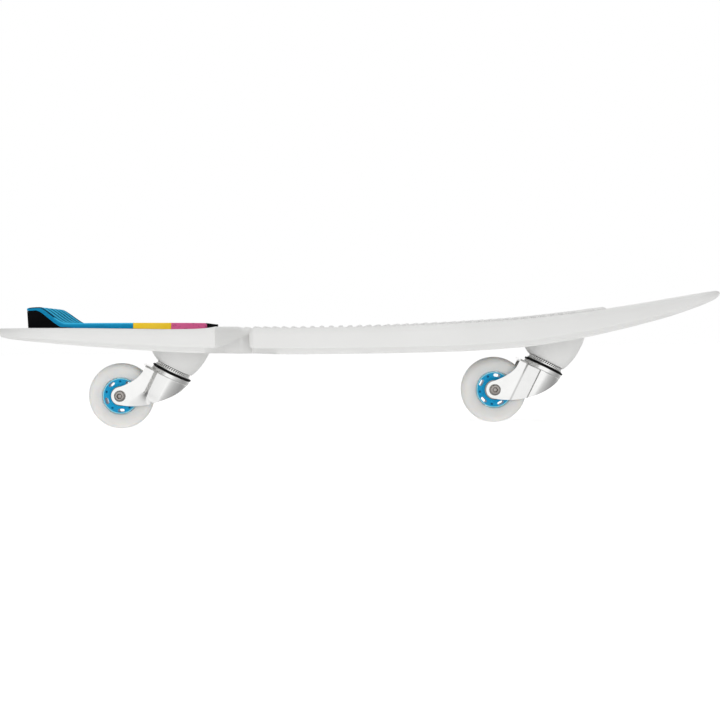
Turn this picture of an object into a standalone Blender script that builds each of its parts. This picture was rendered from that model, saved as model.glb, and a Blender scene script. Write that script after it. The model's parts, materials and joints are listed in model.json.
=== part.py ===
# Waveboard: a surf-shaped plastic deck that twists at its waist, on two raked swivel casters.
# Units are metres. +X points to the nose, +Z up, and the wheels stand on Z = 0.

import math

import bmesh
import bpy

# Clearances
FIT_GAP = 0.0003
RUN_GAP = 0.0003

# Length of a cutter that runs out past what it cuts
CUTTER_REACH = 0.2000

# Deck plan: along the tail, places are distances from its tip, and along the nose, from the nose
DECK_LENGTH = 0.8380
TAIL_HALF_WIDTHS = ((0.000, 0.0800), (0.079, 0.0945), (0.169, 0.1030), (0.258, 0.1060))
NOSE_HALF_WIDTHS = (
    (0.000, 0.0190), (0.029, 0.0320), (0.089, 0.0575), (0.169, 0.0860), (0.249, 0.1060),
    (0.329, 0.1175), (0.409, 0.1200), (0.479, 0.1185), (0.543, 0.1120),
)
TAIL_ROUND = 0.0750
TAIL_ROUND_POWER = 2.2
NOSE_ROUND = 0.0300
TIP_ROUND = 0.0100
TIP_FLOOR = 0.14

# Deck waist, where the rails stop and only the spine runs on
TAIL_RAIL_LENGTH = 0.2576
WAIST_LENGTH = 0.0372
SPLIT_LEAD = 0.0060
WAIST_STEP = 0.0080
WAIST_HALF_WIDTH = 0.0580
SPINE_HALF_WIDTH = 0.0500
FLANGE_THICKNESS = 0.0070
RAIL_STEP = 0.0012
RAIL_CORNER = 0.0060
RAIL_CORNER_INSET = 0.0040

# Deck heights: the tail's top has a shallow dip under the pad, the front's follows the rocker
TAIL_TOP = (
    (0.000, 0.1183), (0.069, 0.1173), (0.106, 0.1165), (0.159, 0.1150), (0.212, 0.1135),
    (0.232, 0.1134), (0.248, 0.1141), (0.258, 0.1156),
)
NOSE_TOP = (
    (0.000, 0.1495), (0.039, 0.1433), (0.099, 0.1340), (0.179, 0.1242), (0.259, 0.1172),
    (0.339, 0.1140), (0.409, 0.1128), (0.479, 0.1127), (0.543, 0.1135),
)
TAIL_UNDERSIDE = (
    (0.000, 0.1092), (0.024, 0.1055), (0.065, 0.1010), (0.139, 0.0938), (0.219, 0.0876), (0.279, 0.0846),
)
NOSE_UNDERSIDE = (
    (0.000, 0.1413), (0.027, 0.1309), (0.064, 0.1195), (0.102, 0.1103), (0.139, 0.1024), (0.189, 0.0934),
    (0.251, 0.0863), (0.319, 0.0834), (0.399, 0.0828), (0.479, 0.0832), (0.543, 0.0846),
)

# Where the deck's cross sections lie: distances in from a tip, and on from a rail's end
TIP_STEPS = (0.0, 0.0008, 0.0030, 0.0065, 0.0115, 0.0190, 0.0300, 0.0460)
TAIL_RAIL_END_STEPS = (-0.008, 0.0, 0.002, 0.006, 0.012, 0.020, 0.028)
NOSE_RAIL_START_STEPS = (0.0, 0.0008, 0.0025, 0.0060, 0.0140, 0.0240, 0.0340)
MIDDLE_INSET = 0.0690

# Deck section
RAIL_TOP_RADIUS = 0.0080
RAIL_LOW_RADIUS = 0.0030
BELLY_DROP = 0.0040
BELLY_INSET = 0.0120
BELLY_CHAMFER = 0.0020
BELLY_RUN_IN = 0.0150
BELLY_RUN_OUT = 0.0100
BELLY_SPREAD = 0.0340
SKIN = 0.0035
WALL = 0.0045
RIB = 0.0030
RIB_PITCH = 0.0410
LONG_RIB_SHARE = 0.40
TAIL_RIBS_INSET = 0.0340
NOSE_RIBS_INSET = 0.0577
RIBS_FROM_TAIL_RAIL_END = 0.0090
RIBS_FROM_NOSE_RAIL_START = 0.0112

# Grip bars on the front of the deck, wider near the nose
BAR_LEAD = 0.0079
BAR_INSET = 0.1440
BAR_PITCH = 0.01045
BAR_WIDTH = 0.0056
WIDE_BAR_WIDTH = 0.0088
WIDE_BAR_INSET = 0.2150
BAR_HEIGHT = 0.0018
BAR_ROOT = 0.0010
BAR_MARGIN = 0.0200
STRINGER_WIDTH = 0.0140
SLOPE_REACH = 0.0050

# Tail pad, with places measured from the tail's tip and heights from the pad's own straight line,
# which starts a little under the deck's top at the rail's end
PAD_LINE_DROP = 0.0003
PAD_LINE_SLOPE = 0.0124
PAD_THICKNESS = 0.0050
PAD_BACK = 0.0440
PAD_BLUE_END = 0.1652
PAD_YELLOW_END = 0.2058
PAD_PINK_END = 0.2392
PAD_TIP_END = 0.2530
PAD_HALF_WIDTHS = (
    (0.044, 0.0590), (0.078, 0.0760), (0.129, 0.0860), (0.179, 0.0820), (0.214, 0.0640),
    (0.238, 0.0360), (0.253, 0.0060),
)
KICK_HEIGHT = 0.0233
KICK_SKIN = 0.0042
KICK_CREST = 0.0104
KICK_TOE = 0.0420
KICK_SKIN_CREST = 0.0150
KICK_SKIN_TOE = 0.0468
KICK_CREST_EASE = (0.0075, 0.0012)
KICK_TOE_EASE = (0.0095, 0.0030)
KICK_BACK_DROP = 0.0012
KICK_BACK_ROUND = 0.0030
KICK_TOE_BLUNT = 0.0030

# Wheels
WHEEL_RADIUS = 0.0380
WHEEL_WIDTH = 0.0240
TYRE_FLAT_RADIUS = 0.0285
CORE_RADIUS = 0.02075
CORE_RECESS = 0.0015
HUB_WALL = 0.0016
WHEEL_CHAMFER = 0.0010
WINDOW_COUNT = 5
WINDOW_PITCH_RADIUS = 0.0168
WINDOW_LENGTH = 0.0078
WINDOW_WIDTH = 0.0036
DOT_RADIUS = 0.0011
DOT_PITCH_RADIUS = 0.0168
WHEEL_STEPS = 36
SMALL_STEPS = 12

# Wheel bearings, the common 8 x 22 x 7 mm size
BEARING_RADIUS = 0.0110
BEARING_WIDTH = 0.0070
BEARING_RING = 0.0018
INNER_RING_RADIUS = 0.0060
SHIELD_THICKNESS = 0.0005
BALL_PITCH_RADIUS = 0.0076
WHEEL_BALL_RADIUS = 0.0013
WHEEL_BALLS = 7
BEARING_STEPS = 24

# Axle
AXLE_RADIUS = 0.0040
AXLE_HEAD_RADIUS = 0.0066
AXLE_HEAD_HEIGHT = 0.0042
AXLE_HEAD_RIM = 0.0012
AXLE_HEAD_FLAT = 0.0040
AXLE_END_SHOWN = 0.0010
AXLE_SOCKET_RADIUS = 0.0030
AXLE_SOCKET_DEPTH = 0.0024
AXLE_NUT_FLATS = 0.0130
AXLE_NUT_HEIGHT = 0.0070
WASHER_THICKNESS = 0.0014
WASHER_RADIUS = 0.0062

# Casters
RAKE = math.radians(27)
REAR_AXLE_INSET = 0.1398
FRONT_AXLE_INSET = 0.2652
TRAIL = 0.0406
DROP = 0.0507
SHEET = 0.0028
CROWN_TOP = -0.0050
CROWN_RADIUS = 0.0235
CROWN_RIM_TOP = -0.0015
CROWN_RIM_DEPTH = 0.0050
SKIRT_RADIUS = 0.0232
LEG_BEND_REAR = -0.0185
LEG_BEND_FRONT = -0.0025
LEG_BACK = -0.0292
LEG_BACK_DROP = 0.0060
LEG_BACK_EASE = 0.0130
BOSS_RADIUS = 0.0100
BOSS_EASE_BACK = 0.0080
BOSS_EASE_FRONT = (0.0220, 0.0050)
LEG_FRONT_EASE = (0.0115, 0.0310)
LIP_REACH = 0.0036
LIP_DIP = 0.0007
LIP_RISE = 0.0006
LIP_EDGE = 0.0018
LIP_ROOT = 0.0030
LIP_LAP = 0.0005

# Swivel bearing and kingpin
SEAL_RADIUS = 0.0240
SEAL_THICKNESS = 0.0022
SEAL_INNER_RADIUS = 0.0183
CUP_RADIUS = 0.0205
CUP_THICKNESS = 0.0040
SWIVEL_BALLS = 8
SWIVEL_BALL_RADIUS = 0.00195
SWIVEL_PITCH_RADIUS = 0.0130
RACE_THICKNESS = 0.0015
RACE_BORE = 0.0080
KINGPIN_RADIUS = 0.0050
KINGPIN_LENGTH = 0.0330
KINGPIN_HEAD_FLATS = 0.0160
KINGPIN_HEAD_HEIGHT = 0.0062
KINGPIN_WASHER_RADIUS = 0.0100
INSERT_RADIUS = 0.0080
INSERT_LENGTH = 0.0180
INSERT_END_ROOM = 0.0030

# Fairing: a round foot on the swivel line that widens and leans into the deck
FAIRING_FOOT_RADIUS = 0.0220
FAIRING_TOP_HEIGHT = 0.0320
FAIRING_TOP_SHIFT = 0.0115
FAIRING_HALF_LENGTH = 0.0365
FAIRING_HALF_WIDTH = 0.0300
FAIRING_BULGE = 0.3
FAIRING_END_HEIGHT = 0.0720
FAIRING_LINING = 0.0010
SWIVEL_STEPS = 24

# Colours as linear red, green, blue
WHITE_PLASTIC = (0.80, 0.80, 0.79)
FOAM_BLACK = (0.010, 0.010, 0.011)
FOAM_BLUE = (0.010, 0.300, 0.600)
FOAM_YELLOW = (0.900, 0.600, 0.020)
FOAM_PINK = (0.700, 0.060, 0.260)
STEEL = (0.62, 0.62, 0.62)
CHROME = (0.80, 0.80, 0.80)
RUBBER_BLACK = (0.012, 0.012, 0.012)
CORE_BLUE = (0.010, 0.330, 0.650)
URETHANE = (0.76, 0.75, 0.73)

# Places worked out from the sizes above
HALF_WIDTH_OF_WHEEL = WHEEL_WIDTH / 2
WASHER_INNER_Y = HALF_WIDTH_OF_WHEEL + FIT_GAP
WASHER_OUTER_Y = WASHER_INNER_Y + WASHER_THICKNESS
LEG_INNER_Y = WASHER_OUTER_Y + FIT_GAP
LEG_OUTER_Y = LEG_INNER_Y + SHEET
AXLE_HOLE = AXLE_RADIUS + FIT_GAP
KINGPIN_HOLE = KINGPIN_RADIUS + FIT_GAP
INSERT_HOLE = INSERT_RADIUS + FIT_GAP
INSERT_HOLE_DEPTH = INSERT_LENGTH + INSERT_END_ROOM
SEAL_BOTTOM = CROWN_RIM_TOP + FIT_GAP
SEAL_TOP = SEAL_BOTTOM + SEAL_THICKNESS
CUP_BOTTOM = SEAL_TOP + RUN_GAP
CUP_TOP = CUP_BOTTOM + CUP_THICKNESS
FAIRING_FOOT = CUP_TOP + FIT_GAP
RACE_BOTTOM = CROWN_TOP + FIT_GAP
RACE_TOP = RACE_BOTTOM + RACE_THICKNESS
CROWN_UNDERSIDE = CROWN_TOP - SHEET
KINGPIN_WASHER_TOP = CROWN_UNDERSIDE - RUN_GAP
KINGPIN_WASHER_BOTTOM = KINGPIN_WASHER_TOP - WASHER_THICKNESS
KINGPIN_HEAD_TOP = KINGPIN_WASHER_BOTTOM - FIT_GAP
TAIL_TIP = -DECK_LENGTH / 2
NOSE_TIP = DECK_LENGTH / 2
TAIL_RAIL_END = TAIL_TIP + TAIL_RAIL_LENGTH
NOSE_RAIL_START = TAIL_RAIL_END + WAIST_LENGTH
WAIST_SPLIT = NOSE_RAIL_START - SPLIT_LEAD
PAD_LINE_HEIGHT = TAIL_TOP[-1][1] - PAD_LINE_DROP
CASTER_REACH = TRAIL * math.cos(RAKE) + DROP * math.sin(RAKE)
CASTER_RISE = DROP * math.cos(RAKE) - TRAIL * math.sin(RAKE)


# Scene helpers

def clear_scene():
    for obj in list(bpy.data.objects):
        bpy.data.objects.remove(obj, do_unlink=True)


def new_collection(name):
    group = bpy.data.collections.new(name)
    bpy.context.scene.collection.children.link(group)
    return group


def new_material(name, colour, roughness, metallic=0.0):
    material = bpy.data.materials.new(name)
    material.use_nodes = True
    shader = material.node_tree.nodes["Principled BSDF"]
    shader.inputs["Base Color"].default_value = (*colour, 1.0)
    shader.inputs["Roughness"].default_value = roughness
    shader.inputs["Metallic"].default_value = metallic
    return material


def new_empty(name, group, location, parent=None, rake=0.0):
    empty = bpy.data.objects.new(name, None)
    empty.empty_display_size = 0.02
    empty.location = location
    empty.rotation_euler = (0.0, rake, 0.0)
    empty.parent = parent
    group.objects.link(empty)
    return empty


def as_part(obj, material, parent=None):
    obj.data.materials.clear()
    obj.data.materials.append(material)
    obj.parent = parent
    PARTS.objects.link(obj)
    obj.data.shade_smooth()
    obj.data.set_sharp_from_angle(angle=math.radians(35))
    return obj


def as_cutter(obj, parent=None):
    obj.parent = parent
    obj.hide_render = True
    obj.display_type = "WIRE"
    CUTTERS.objects.link(obj)
    return obj


def combine(obj, other, operation):
    modifier = obj.modifiers.new(other.name, "BOOLEAN")
    modifier.object = other
    modifier.operation = operation
    modifier.solver = "EXACT"
    return obj


# Shape helpers

def smooth_curve(table, x):
    """Height of a smooth curve that never overshoots the points of the table."""
    if x <= table[0][0]:
        return table[0][1]
    if x >= table[-1][0]:
        return table[-1][1]
    rises = [(b[1] - a[1]) / (b[0] - a[0]) for a, b in zip(table, table[1:])]
    slopes = [rises[0]]
    for before, after in zip(rises, rises[1:]):
        if before * after <= 0:
            slopes.append(0.0)
        else:
            slopes.append(2 * before * after / (before + after))
    slopes.append(rises[-1])
    index = max(i for i in range(len(table) - 1) if table[i][0] <= x)
    (x0, y0), (x1, y1) = table[index], table[index + 1]
    span = x1 - x0
    t = (x - x0) / span
    from_start = (1 + 2 * t) * (1 - t) ** 2 * y0 + t * (1 - t) ** 2 * span * slopes[index]
    from_end = t * t * (3 - 2 * t) * y1 - t * t * (1 - t) * span * slopes[index + 1]
    return from_start + from_end


def round_end(distance, reach, power=2.0):
    """Share of the full size at a distance from a tip that is rounded over its reach."""
    if distance >= reach:
        return 1.0
    return max(TIP_FLOOR, (1 - (1 - distance / reach) ** power) ** (1 / power))


def ease(t):
    t = min(max(t, 0.0), 1.0)
    return t * t * (3 - 2 * t)


def mix(a, b, t):
    return a + (b - a) * t


def arc(centre, radius, start, end, steps):
    """Points on an arc, with angles in degrees."""
    points = []
    for step in range(steps + 1):
        angle = math.radians(mix(start, end, step / steps))
        points.append((centre[0] + radius * math.cos(angle), centre[1] + radius * math.sin(angle)))
    return points


def bezier(p0, p1, p2, p3, steps):
    """Points after p0 on a cubic curve, up to and with p3."""
    points = []
    for step in range(1, steps + 1):
        t = step / steps
        weights = ((1 - t) ** 3, 3 * t * (1 - t) ** 2, 3 * t * t * (1 - t), t ** 3)
        points.append(tuple(sum(w * p[i] for w, p in zip(weights, (p0, p1, p2, p3))) for i in (0, 1)))
    return points


def mesh_object(name, bm):
    bmesh.ops.recalc_face_normals(bm, faces=bm.faces)
    mesh = bpy.data.meshes.new(name)
    bm.to_mesh(mesh)
    bm.free()
    return bpy.data.objects.new(name, mesh)


def loft(name, rings):
    """A closed body through rings that have the same number of points."""
    bm = bmesh.new()
    rows = [[bm.verts.new(point) for point in ring] for ring in rings]
    count = len(rows[0])
    for row, after in zip(rows, rows[1:]):
        for i in range(count):
            j = (i + 1) % count
            bm.faces.new((row[i], row[j], after[j], after[i]))
    bm.faces.new(rows[0])
    bm.faces.new(rows[-1])
    return mesh_object(name, bm)


def block(name, low, high):
    bm = bmesh.new()
    bmesh.ops.create_cube(bm, size=1.0)
    for vert in bm.verts:
        for axis in range(3):
            vert.co[axis] = mix(low[axis], high[axis], vert.co[axis] + 0.5)
    return mesh_object(name, bm)


def cylinder(name, radius, low, high, steps, along_y=False):
    bm = bmesh.new()
    bmesh.ops.create_cone(
        bm, cap_ends=True, segments=steps, radius1=radius, radius2=radius, depth=high - low)
    bmesh.ops.translate(bm, verts=bm.verts, vec=(0.0, 0.0, (low + high) / 2))
    obj = mesh_object(name, bm)
    if along_y:
        turn_to_y(obj)
    return obj


def turn_to_y(obj):
    obj.rotation_euler = (math.radians(-90), 0.0, 0.0)
    return obj


def turned(name, profile, steps, closed=True):
    """A profile of (radius, height) points turned about Z, listed down its outer side."""
    mesh = bpy.data.meshes.new(name)
    edges = [(i, i + 1) for i in range(len(profile) - 1)]
    if closed:
        edges.append((len(profile) - 1, 0))
    mesh.from_pydata([(r, 0.0, z) for r, z in profile], edges, [])
    obj = bpy.data.objects.new(name, mesh)
    screw = obj.modifiers.new("Turn", "SCREW")
    screw.axis = "Z"
    screw.angle = math.radians(360)
    screw.steps = steps
    screw.render_steps = steps
    screw.use_merge_vertices = True
    screw.merge_threshold = 0.000001
    return obj


def ring(name, bore, radius, low, high, steps):
    return turned(name, [(radius, high), (radius, low), (bore, low), (bore, high)], steps)


def plate(name, outline, low, high, standing=False):
    """A flat outline given a thickness, lying from low to high in Z or standing across Y."""
    curve = bpy.data.curves.new(name, "CURVE")
    curve.dimensions = "2D"
    curve.fill_mode = "BOTH"
    curve.extrude = (high - low) / 2
    spline = curve.splines.new("POLY")
    spline.points.add(len(outline) - 1)
    for point, (x, y) in zip(spline.points, outline):
        point.co = (x, y, 0.0, 1.0)
    spline.use_cyclic_u = True
    source = bpy.data.objects.new(name + "_outline", curve)
    CUTTERS.objects.link(source)
    graph = bpy.context.evaluated_depsgraph_get()
    mesh = bpy.data.meshes.new_from_object(source.evaluated_get(graph))
    bpy.data.objects.remove(source, do_unlink=True)
    bm = bmesh.new()
    bm.from_mesh(mesh)
    bmesh.ops.remove_doubles(bm, verts=bm.verts, dist=0.000001)
    bmesh.ops.translate(bm, verts=bm.verts, vec=(0.0, 0.0, (low + high) / 2))
    obj = mesh_object(name, bm)
    if standing:
        obj.rotation_euler = (math.radians(90), 0.0, 0.0)
    return obj


def joined(name, objects):
    """One mesh from several separate bodies, for a cutter that repeats."""
    bm = bmesh.new()
    for obj in objects:
        start = len(bm.verts)
        bm.from_mesh(obj.data)
        bm.verts.ensure_lookup_table()
        bmesh.ops.transform(bm, matrix=obj.matrix_basis, verts=bm.verts[start:])
        bpy.data.objects.remove(obj, do_unlink=True)
    return mesh_object(name, bm)


# Deck

def deck_half_width(x):
    if x <= TAIL_RAIL_END:
        inset = x - TAIL_TIP
        return smooth_curve(TAIL_HALF_WIDTHS, inset) * round_end(inset, TAIL_ROUND, TAIL_ROUND_POWER)
    if x < NOSE_RAIL_START:
        share = (x - TAIL_RAIL_END) / WAIST_LENGTH
        return mix(TAIL_HALF_WIDTHS[-1][1], WAIST_HALF_WIDTH, math.sin(share * math.pi / 2))
    inset = NOSE_TIP - x
    full = smooth_curve(NOSE_HALF_WIDTHS, inset) * round_end(inset, NOSE_ROUND)
    past_step = x - NOSE_RAIL_START - RAIL_STEP
    if past_step < 0:
        return mix(full - RAIL_CORNER_INSET, WAIST_HALF_WIDTH, -past_step / RAIL_STEP)
    return full - RAIL_CORNER_INSET * (1 - math.sqrt(ease(past_step / RAIL_CORNER)))


def deck_faces(x):
    """Top, underside and rail bottom heights of the deck."""
    tail_top = smooth_curve(TAIL_TOP, x - TAIL_TIP)
    rocker = smooth_curve(NOSE_TOP, NOSE_TIP - x)
    top = mix(tail_top, rocker, ease((x - NOSE_RAIL_START) / WAIST_STEP + 1))
    if x <= WAIST_SPLIT:
        low = smooth_curve(TAIL_UNDERSIDE, x - TAIL_TIP)
    else:
        low = smooth_curve(NOSE_UNDERSIDE, NOSE_TIP - x)
    share = round_end(DECK_LENGTH / 2 - abs(x), TIP_ROUND)
    middle = (top + low) / 2
    top = mix(middle, top, share)
    low = mix(middle, low, share)
    rail_low = low + min(BELLY_DROP, 0.22 * (top - low))
    if TAIL_RAIL_END < x <= NOSE_RAIL_START:
        rail_low = mix(rail_low, top - FLANGE_THICKNESS, (x - TAIL_RAIL_END) / WAIST_LENGTH)
    return top, low, rail_low


def top_slope(x):
    """Angle of the deck's top over a short stretch around x."""
    return math.atan2(deck_faces(x + SLOPE_REACH)[0] - deck_faces(x - SLOPE_REACH)[0], 2 * SLOPE_REACH)


def belly_half_width(x, half_width):
    full = half_width - min(BELLY_INSET, 0.25 * half_width)
    if x < (TAIL_RAIL_END + NOSE_RAIL_START) / 2:
        run = (x - TAIL_RAIL_END + BELLY_RUN_IN) / (BELLY_RUN_IN + BELLY_RUN_OUT)
        return mix(full, SPINE_HALF_WIDTH, ease(run))
    return mix(SPINE_HALF_WIDTH, full, ease((x - NOSE_RAIL_START - RAIL_STEP) / BELLY_SPREAD))


def deck_ring(x):
    half_width = deck_half_width(x)
    top, low, rail_low = deck_faces(x)
    rail = top - rail_low
    upper = min(RAIL_TOP_RADIUS, 0.5 * rail, 0.4 * half_width)
    lower = min(RAIL_LOW_RADIUS, 0.3 * rail, 0.15 * half_width)
    belly = min(belly_half_width(x, half_width), half_width - lower * 1.3)
    chamfer = min(BELLY_CHAMFER, 0.5 * (rail_low - low))
    side = [(half_width - upper, top)]
    for degrees in (60, 30, 0):
        angle = math.radians(degrees)
        centre = half_width - upper
        side.append((centre + upper * math.cos(angle), top - upper + upper * math.sin(angle)))
    for degrees in (0, 90):
        angle = math.radians(degrees)
        centre = half_width - lower
        side.append((centre + lower * math.cos(angle), rail_low + lower - lower * math.sin(angle)))
    side.append((belly, rail_low))
    side.append((belly - 0.5 * chamfer, low + chamfer))
    side.append((belly - 1.5 * chamfer, low))
    right = [(x, y, z) for y, z in side]
    left = [(x, -y, z) for y, z in reversed(side)]
    return [(x, 0.0, top)] + right + [(x, 0.0, low)] + left


def stations(low, high, count):
    return [mix(low, high, i / count) for i in range(count + 1)]


def deck_stations(tail):
    if tail:
        steps = [TAIL_TIP + step for step in TIP_STEPS]
        steps += stations(TAIL_TIP + MIDDLE_INSET, TAIL_RAIL_END - BELLY_RUN_IN, 9)
        steps += [TAIL_RAIL_END + step for step in TAIL_RAIL_END_STEPS]
        return steps + [WAIST_SPLIT - FIT_GAP / 2]
    steps = [WAIST_SPLIT + FIT_GAP / 2, NOSE_RAIL_START]
    steps += [NOSE_RAIL_START + RAIL_STEP + step for step in NOSE_RAIL_START_STEPS]
    steps += stations(steps[-1] + BELLY_SPREAD, NOSE_TIP - MIDDLE_INSET, 13)
    return steps + [NOSE_TIP - step for step in reversed(TIP_STEPS)]


def pocket_half_width(x):
    return belly_half_width(x, deck_half_width(x)) - WALL


def build_pockets(name, start, end):
    """Everything under the deck's skin, cut back to leave the cross ribs and long ribs."""
    bays = max(1, round((end - start) / RIB_PITCH))
    edges = stations(start, end, bays)
    rings = []
    for x in edges:
        top, low, _ = deck_faces(x)
        half = pocket_half_width(x)
        roof = top - SKIN
        mouth = low - WALL
        rings.append([(x, half, roof), (x, half, mouth), (x, -half, mouth), (x, -half, roof)])
    pockets = as_cutter(loft(name, rings))
    below = min(point[2] for ring_points in rings for point in ring_points) - WALL
    above = max(point[2] for ring_points in rings for point in ring_points) + WALL
    cross = []
    for x in edges[1:-1]:
        cross.append(block("cross", (x - RIB / 2, -CUTTER_REACH, below), (x + RIB / 2, CUTTER_REACH, above)))
    combine(pockets, as_cutter(joined(name + "_cross_ribs", cross)), "DIFFERENCE")
    for lane, share in (("left", LONG_RIB_SHARE), ("right", -LONG_RIB_SHARE)):
        rib_rings = []
        for x in [edges[0] - WALL] + edges[1:-1] + [edges[-1] + WALL]:
            middle = share * pocket_half_width(min(max(x, edges[0]), edges[-1]))
            rib_rings.append([
                (x, middle + RIB / 2, above), (x, middle + RIB / 2, below),
                (x, middle - RIB / 2, below), (x, middle - RIB / 2, above)])
        combine(pockets, as_cutter(loft(f"{name}_{lane}_rib", rib_rings)), "DIFFERENCE")
    return pockets


def fairing_ring(centre, share):
    """One ring of the fairing, from its round foot at 0 to its widest ellipse at 1."""
    across = mix(share, math.sin(share * math.pi / 2), FAIRING_BULGE)
    up = mix(share, 1 - math.cos(share * math.pi / 2), FAIRING_BULGE)
    points = []
    for c, s in arc((0.0, 0.0), 1.0, 0, 360 - 360 / SWIVEL_STEPS, SWIVEL_STEPS - 1):
        out = FAIRING_FOOT_RADIUS * c
        foot_x = out * math.cos(RAKE) + FAIRING_FOOT * math.sin(RAKE)
        foot_z = FAIRING_FOOT * math.cos(RAKE) - out * math.sin(RAKE)
        points.append((
            centre[0] + mix(foot_x, FAIRING_TOP_SHIFT + FAIRING_HALF_LENGTH * c, across),
            mix(FAIRING_FOOT_RADIUS, FAIRING_HALF_WIDTH, across) * s,
            centre[2] + mix(foot_z, FAIRING_TOP_HEIGHT, up)))
    return points


def build_fairing(name, swivel, centre):
    """The boss that carries a caster, trimmed inside the deck's skin."""
    rings = [fairing_ring(centre, step / 5) for step in range(6)]
    rings.append([(x, y, centre[2] + FAIRING_END_HEIGHT) for x, y, _ in rings[-1]])
    fairing = as_cutter(loft(name, rings))
    hole = cylinder(
        name + "_insert_hole", INSERT_HOLE, -CUTTER_REACH, FAIRING_FOOT + INSERT_HOLE_DEPTH, SWIVEL_STEPS)
    combine(fairing, as_cutter(hole, swivel), "DIFFERENCE")
    base_x = centre[0] + FAIRING_TOP_SHIFT
    trim = as_cutter(block(
        name + "_trim", (-CUTTER_REACH, -CUTTER_REACH, 0.0), (CUTTER_REACH, CUTTER_REACH, CUTTER_REACH)))
    trim.location = (base_x, 0.0, deck_faces(base_x)[0] - SKIN / 2)
    trim.rotation_euler = (0.0, -top_slope(base_x), 0.0)
    return combine(fairing, trim, "DIFFERENCE")


def build_deck_half(name, tail, swivel, centre):
    deck = as_part(loft(name, [deck_ring(x) for x in deck_stations(tail)]), MATERIALS["white_plastic"])
    if tail:
        start, end = TAIL_TIP + TAIL_RIBS_INSET, TAIL_RAIL_END - RIBS_FROM_TAIL_RAIL_END
    else:
        start, end = NOSE_RAIL_START + RIBS_FROM_NOSE_RAIL_START, NOSE_TIP - NOSE_RIBS_INSET
    combine(deck, build_pockets(name + "_pockets", start, end), "DIFFERENCE")
    if not tail:
        combine(deck, build_grip_bars(), "UNION")
    clear = cylinder(
        name + "_insert_clear", INSERT_HOLE + FAIRING_LINING, FAIRING_FOOT,
        FAIRING_FOOT + INSERT_HOLE_DEPTH + FAIRING_LINING, SWIVEL_STEPS)
    combine(deck, as_cutter(clear, swivel), "DIFFERENCE")
    combine(deck, build_fairing(name + "_fairing", swivel, centre), "UNION")


def build_grip_bars():
    """Cross bars in two lanes, one on each side of a smooth stringer line."""
    bars = []
    start = NOSE_RAIL_START + BAR_LEAD
    rows = int((NOSE_TIP - BAR_INSET - start) / BAR_PITCH) + 1
    for row in range(rows):
        x = start + row * BAR_PITCH
        width = BAR_WIDTH if NOSE_TIP - x > WIDE_BAR_INSET else WIDE_BAR_WIDTH
        outer = deck_half_width(x) - BAR_MARGIN
        for side in (-1, 1):
            near = side * STRINGER_WIDTH / 2
            far = side * outer
            low = (-width / 2, min(near, far), -BAR_ROOT)
            bar = block("bar", low, (width / 2, max(near, far), BAR_HEIGHT))
            bar.location = (x, 0.0, deck_faces(x)[0])
            bar.rotation_euler = (0.0, -top_slope(x), 0.0)
            bars.append(bar)
    return as_cutter(joined("grip_bars", bars))


# Tail pad

def pad_outline(start, end, steps):
    """Plan of one section of the pad, between two cuts straight across it."""
    edge = [(x, smooth_curve(PAD_HALF_WIDTHS, x)) for x in stations(start, end, steps)]
    return edge + [(x, -y) for x, y in reversed(edge)]


def pad_foot(inset):
    """Height of the pad's underside on the deck's top."""
    line = PAD_LINE_HEIGHT + (TAIL_RAIL_LENGTH - inset) * PAD_LINE_SLOPE
    return deck_faces(TAIL_TIP + inset)[0] - line + FIT_GAP


def pad_underside(start, end):
    return [(inset, pad_foot(inset)) for inset in stations(start, end, 5)]


def kick_underside():
    """Hollow curve that the black core and the blue skin share, from above its toe to its back."""
    toe = (PAD_BACK + KICK_TOE, 0.0)
    crest = (PAD_BACK + KICK_CREST, KICK_HEIGHT - KICK_SKIN)
    near_toe = (toe[0] - KICK_TOE_EASE[0], KICK_TOE_EASE[1])
    near_crest = (crest[0] + KICK_CREST_EASE[0], crest[1] - KICK_CREST_EASE[1])
    return bezier(toe, near_toe, near_crest, crest, 6) + [(PAD_BACK, crest[1] - KICK_BACK_DROP)]


def kick_topside():
    """Outer curve of the blue skin, from its back over the crest and down to the pad."""
    back = (PAD_BACK, KICK_HEIGHT - KICK_BACK_DROP)
    crest = (PAD_BACK + KICK_SKIN_CREST, KICK_HEIGHT)
    toe = (PAD_BACK + KICK_SKIN_TOE, PAD_THICKNESS)
    round_back = (back[0] + KICK_BACK_ROUND, KICK_HEIGHT)
    round_crest = (crest[0] - KICK_BACK_ROUND, KICK_HEIGHT)
    rise = bezier(back, round_back, round_crest, crest, 3)
    near_crest = (crest[0] + KICK_CREST_EASE[0], crest[1] - KICK_CREST_EASE[1])
    near_toe = (toe[0] - KICK_TOE_EASE[0], PAD_THICKNESS)
    return [back] + rise + bezier(crest, near_crest, near_toe, toe, 8)


def build_pad_section(name, profile, start, end, steps, material, pad_line):
    """A side profile run across the tail and trimmed to the pad's plan."""
    body = plate(name, profile, -CUTTER_REACH, CUTTER_REACH, standing=True)
    as_part(body, MATERIALS[material], pad_line)
    plan = plate(name + "_plan", pad_outline(start, end, steps), -CUTTER_REACH, CUTTER_REACH)
    combine(body, as_cutter(plan, pad_line), "INTERSECT")


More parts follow.
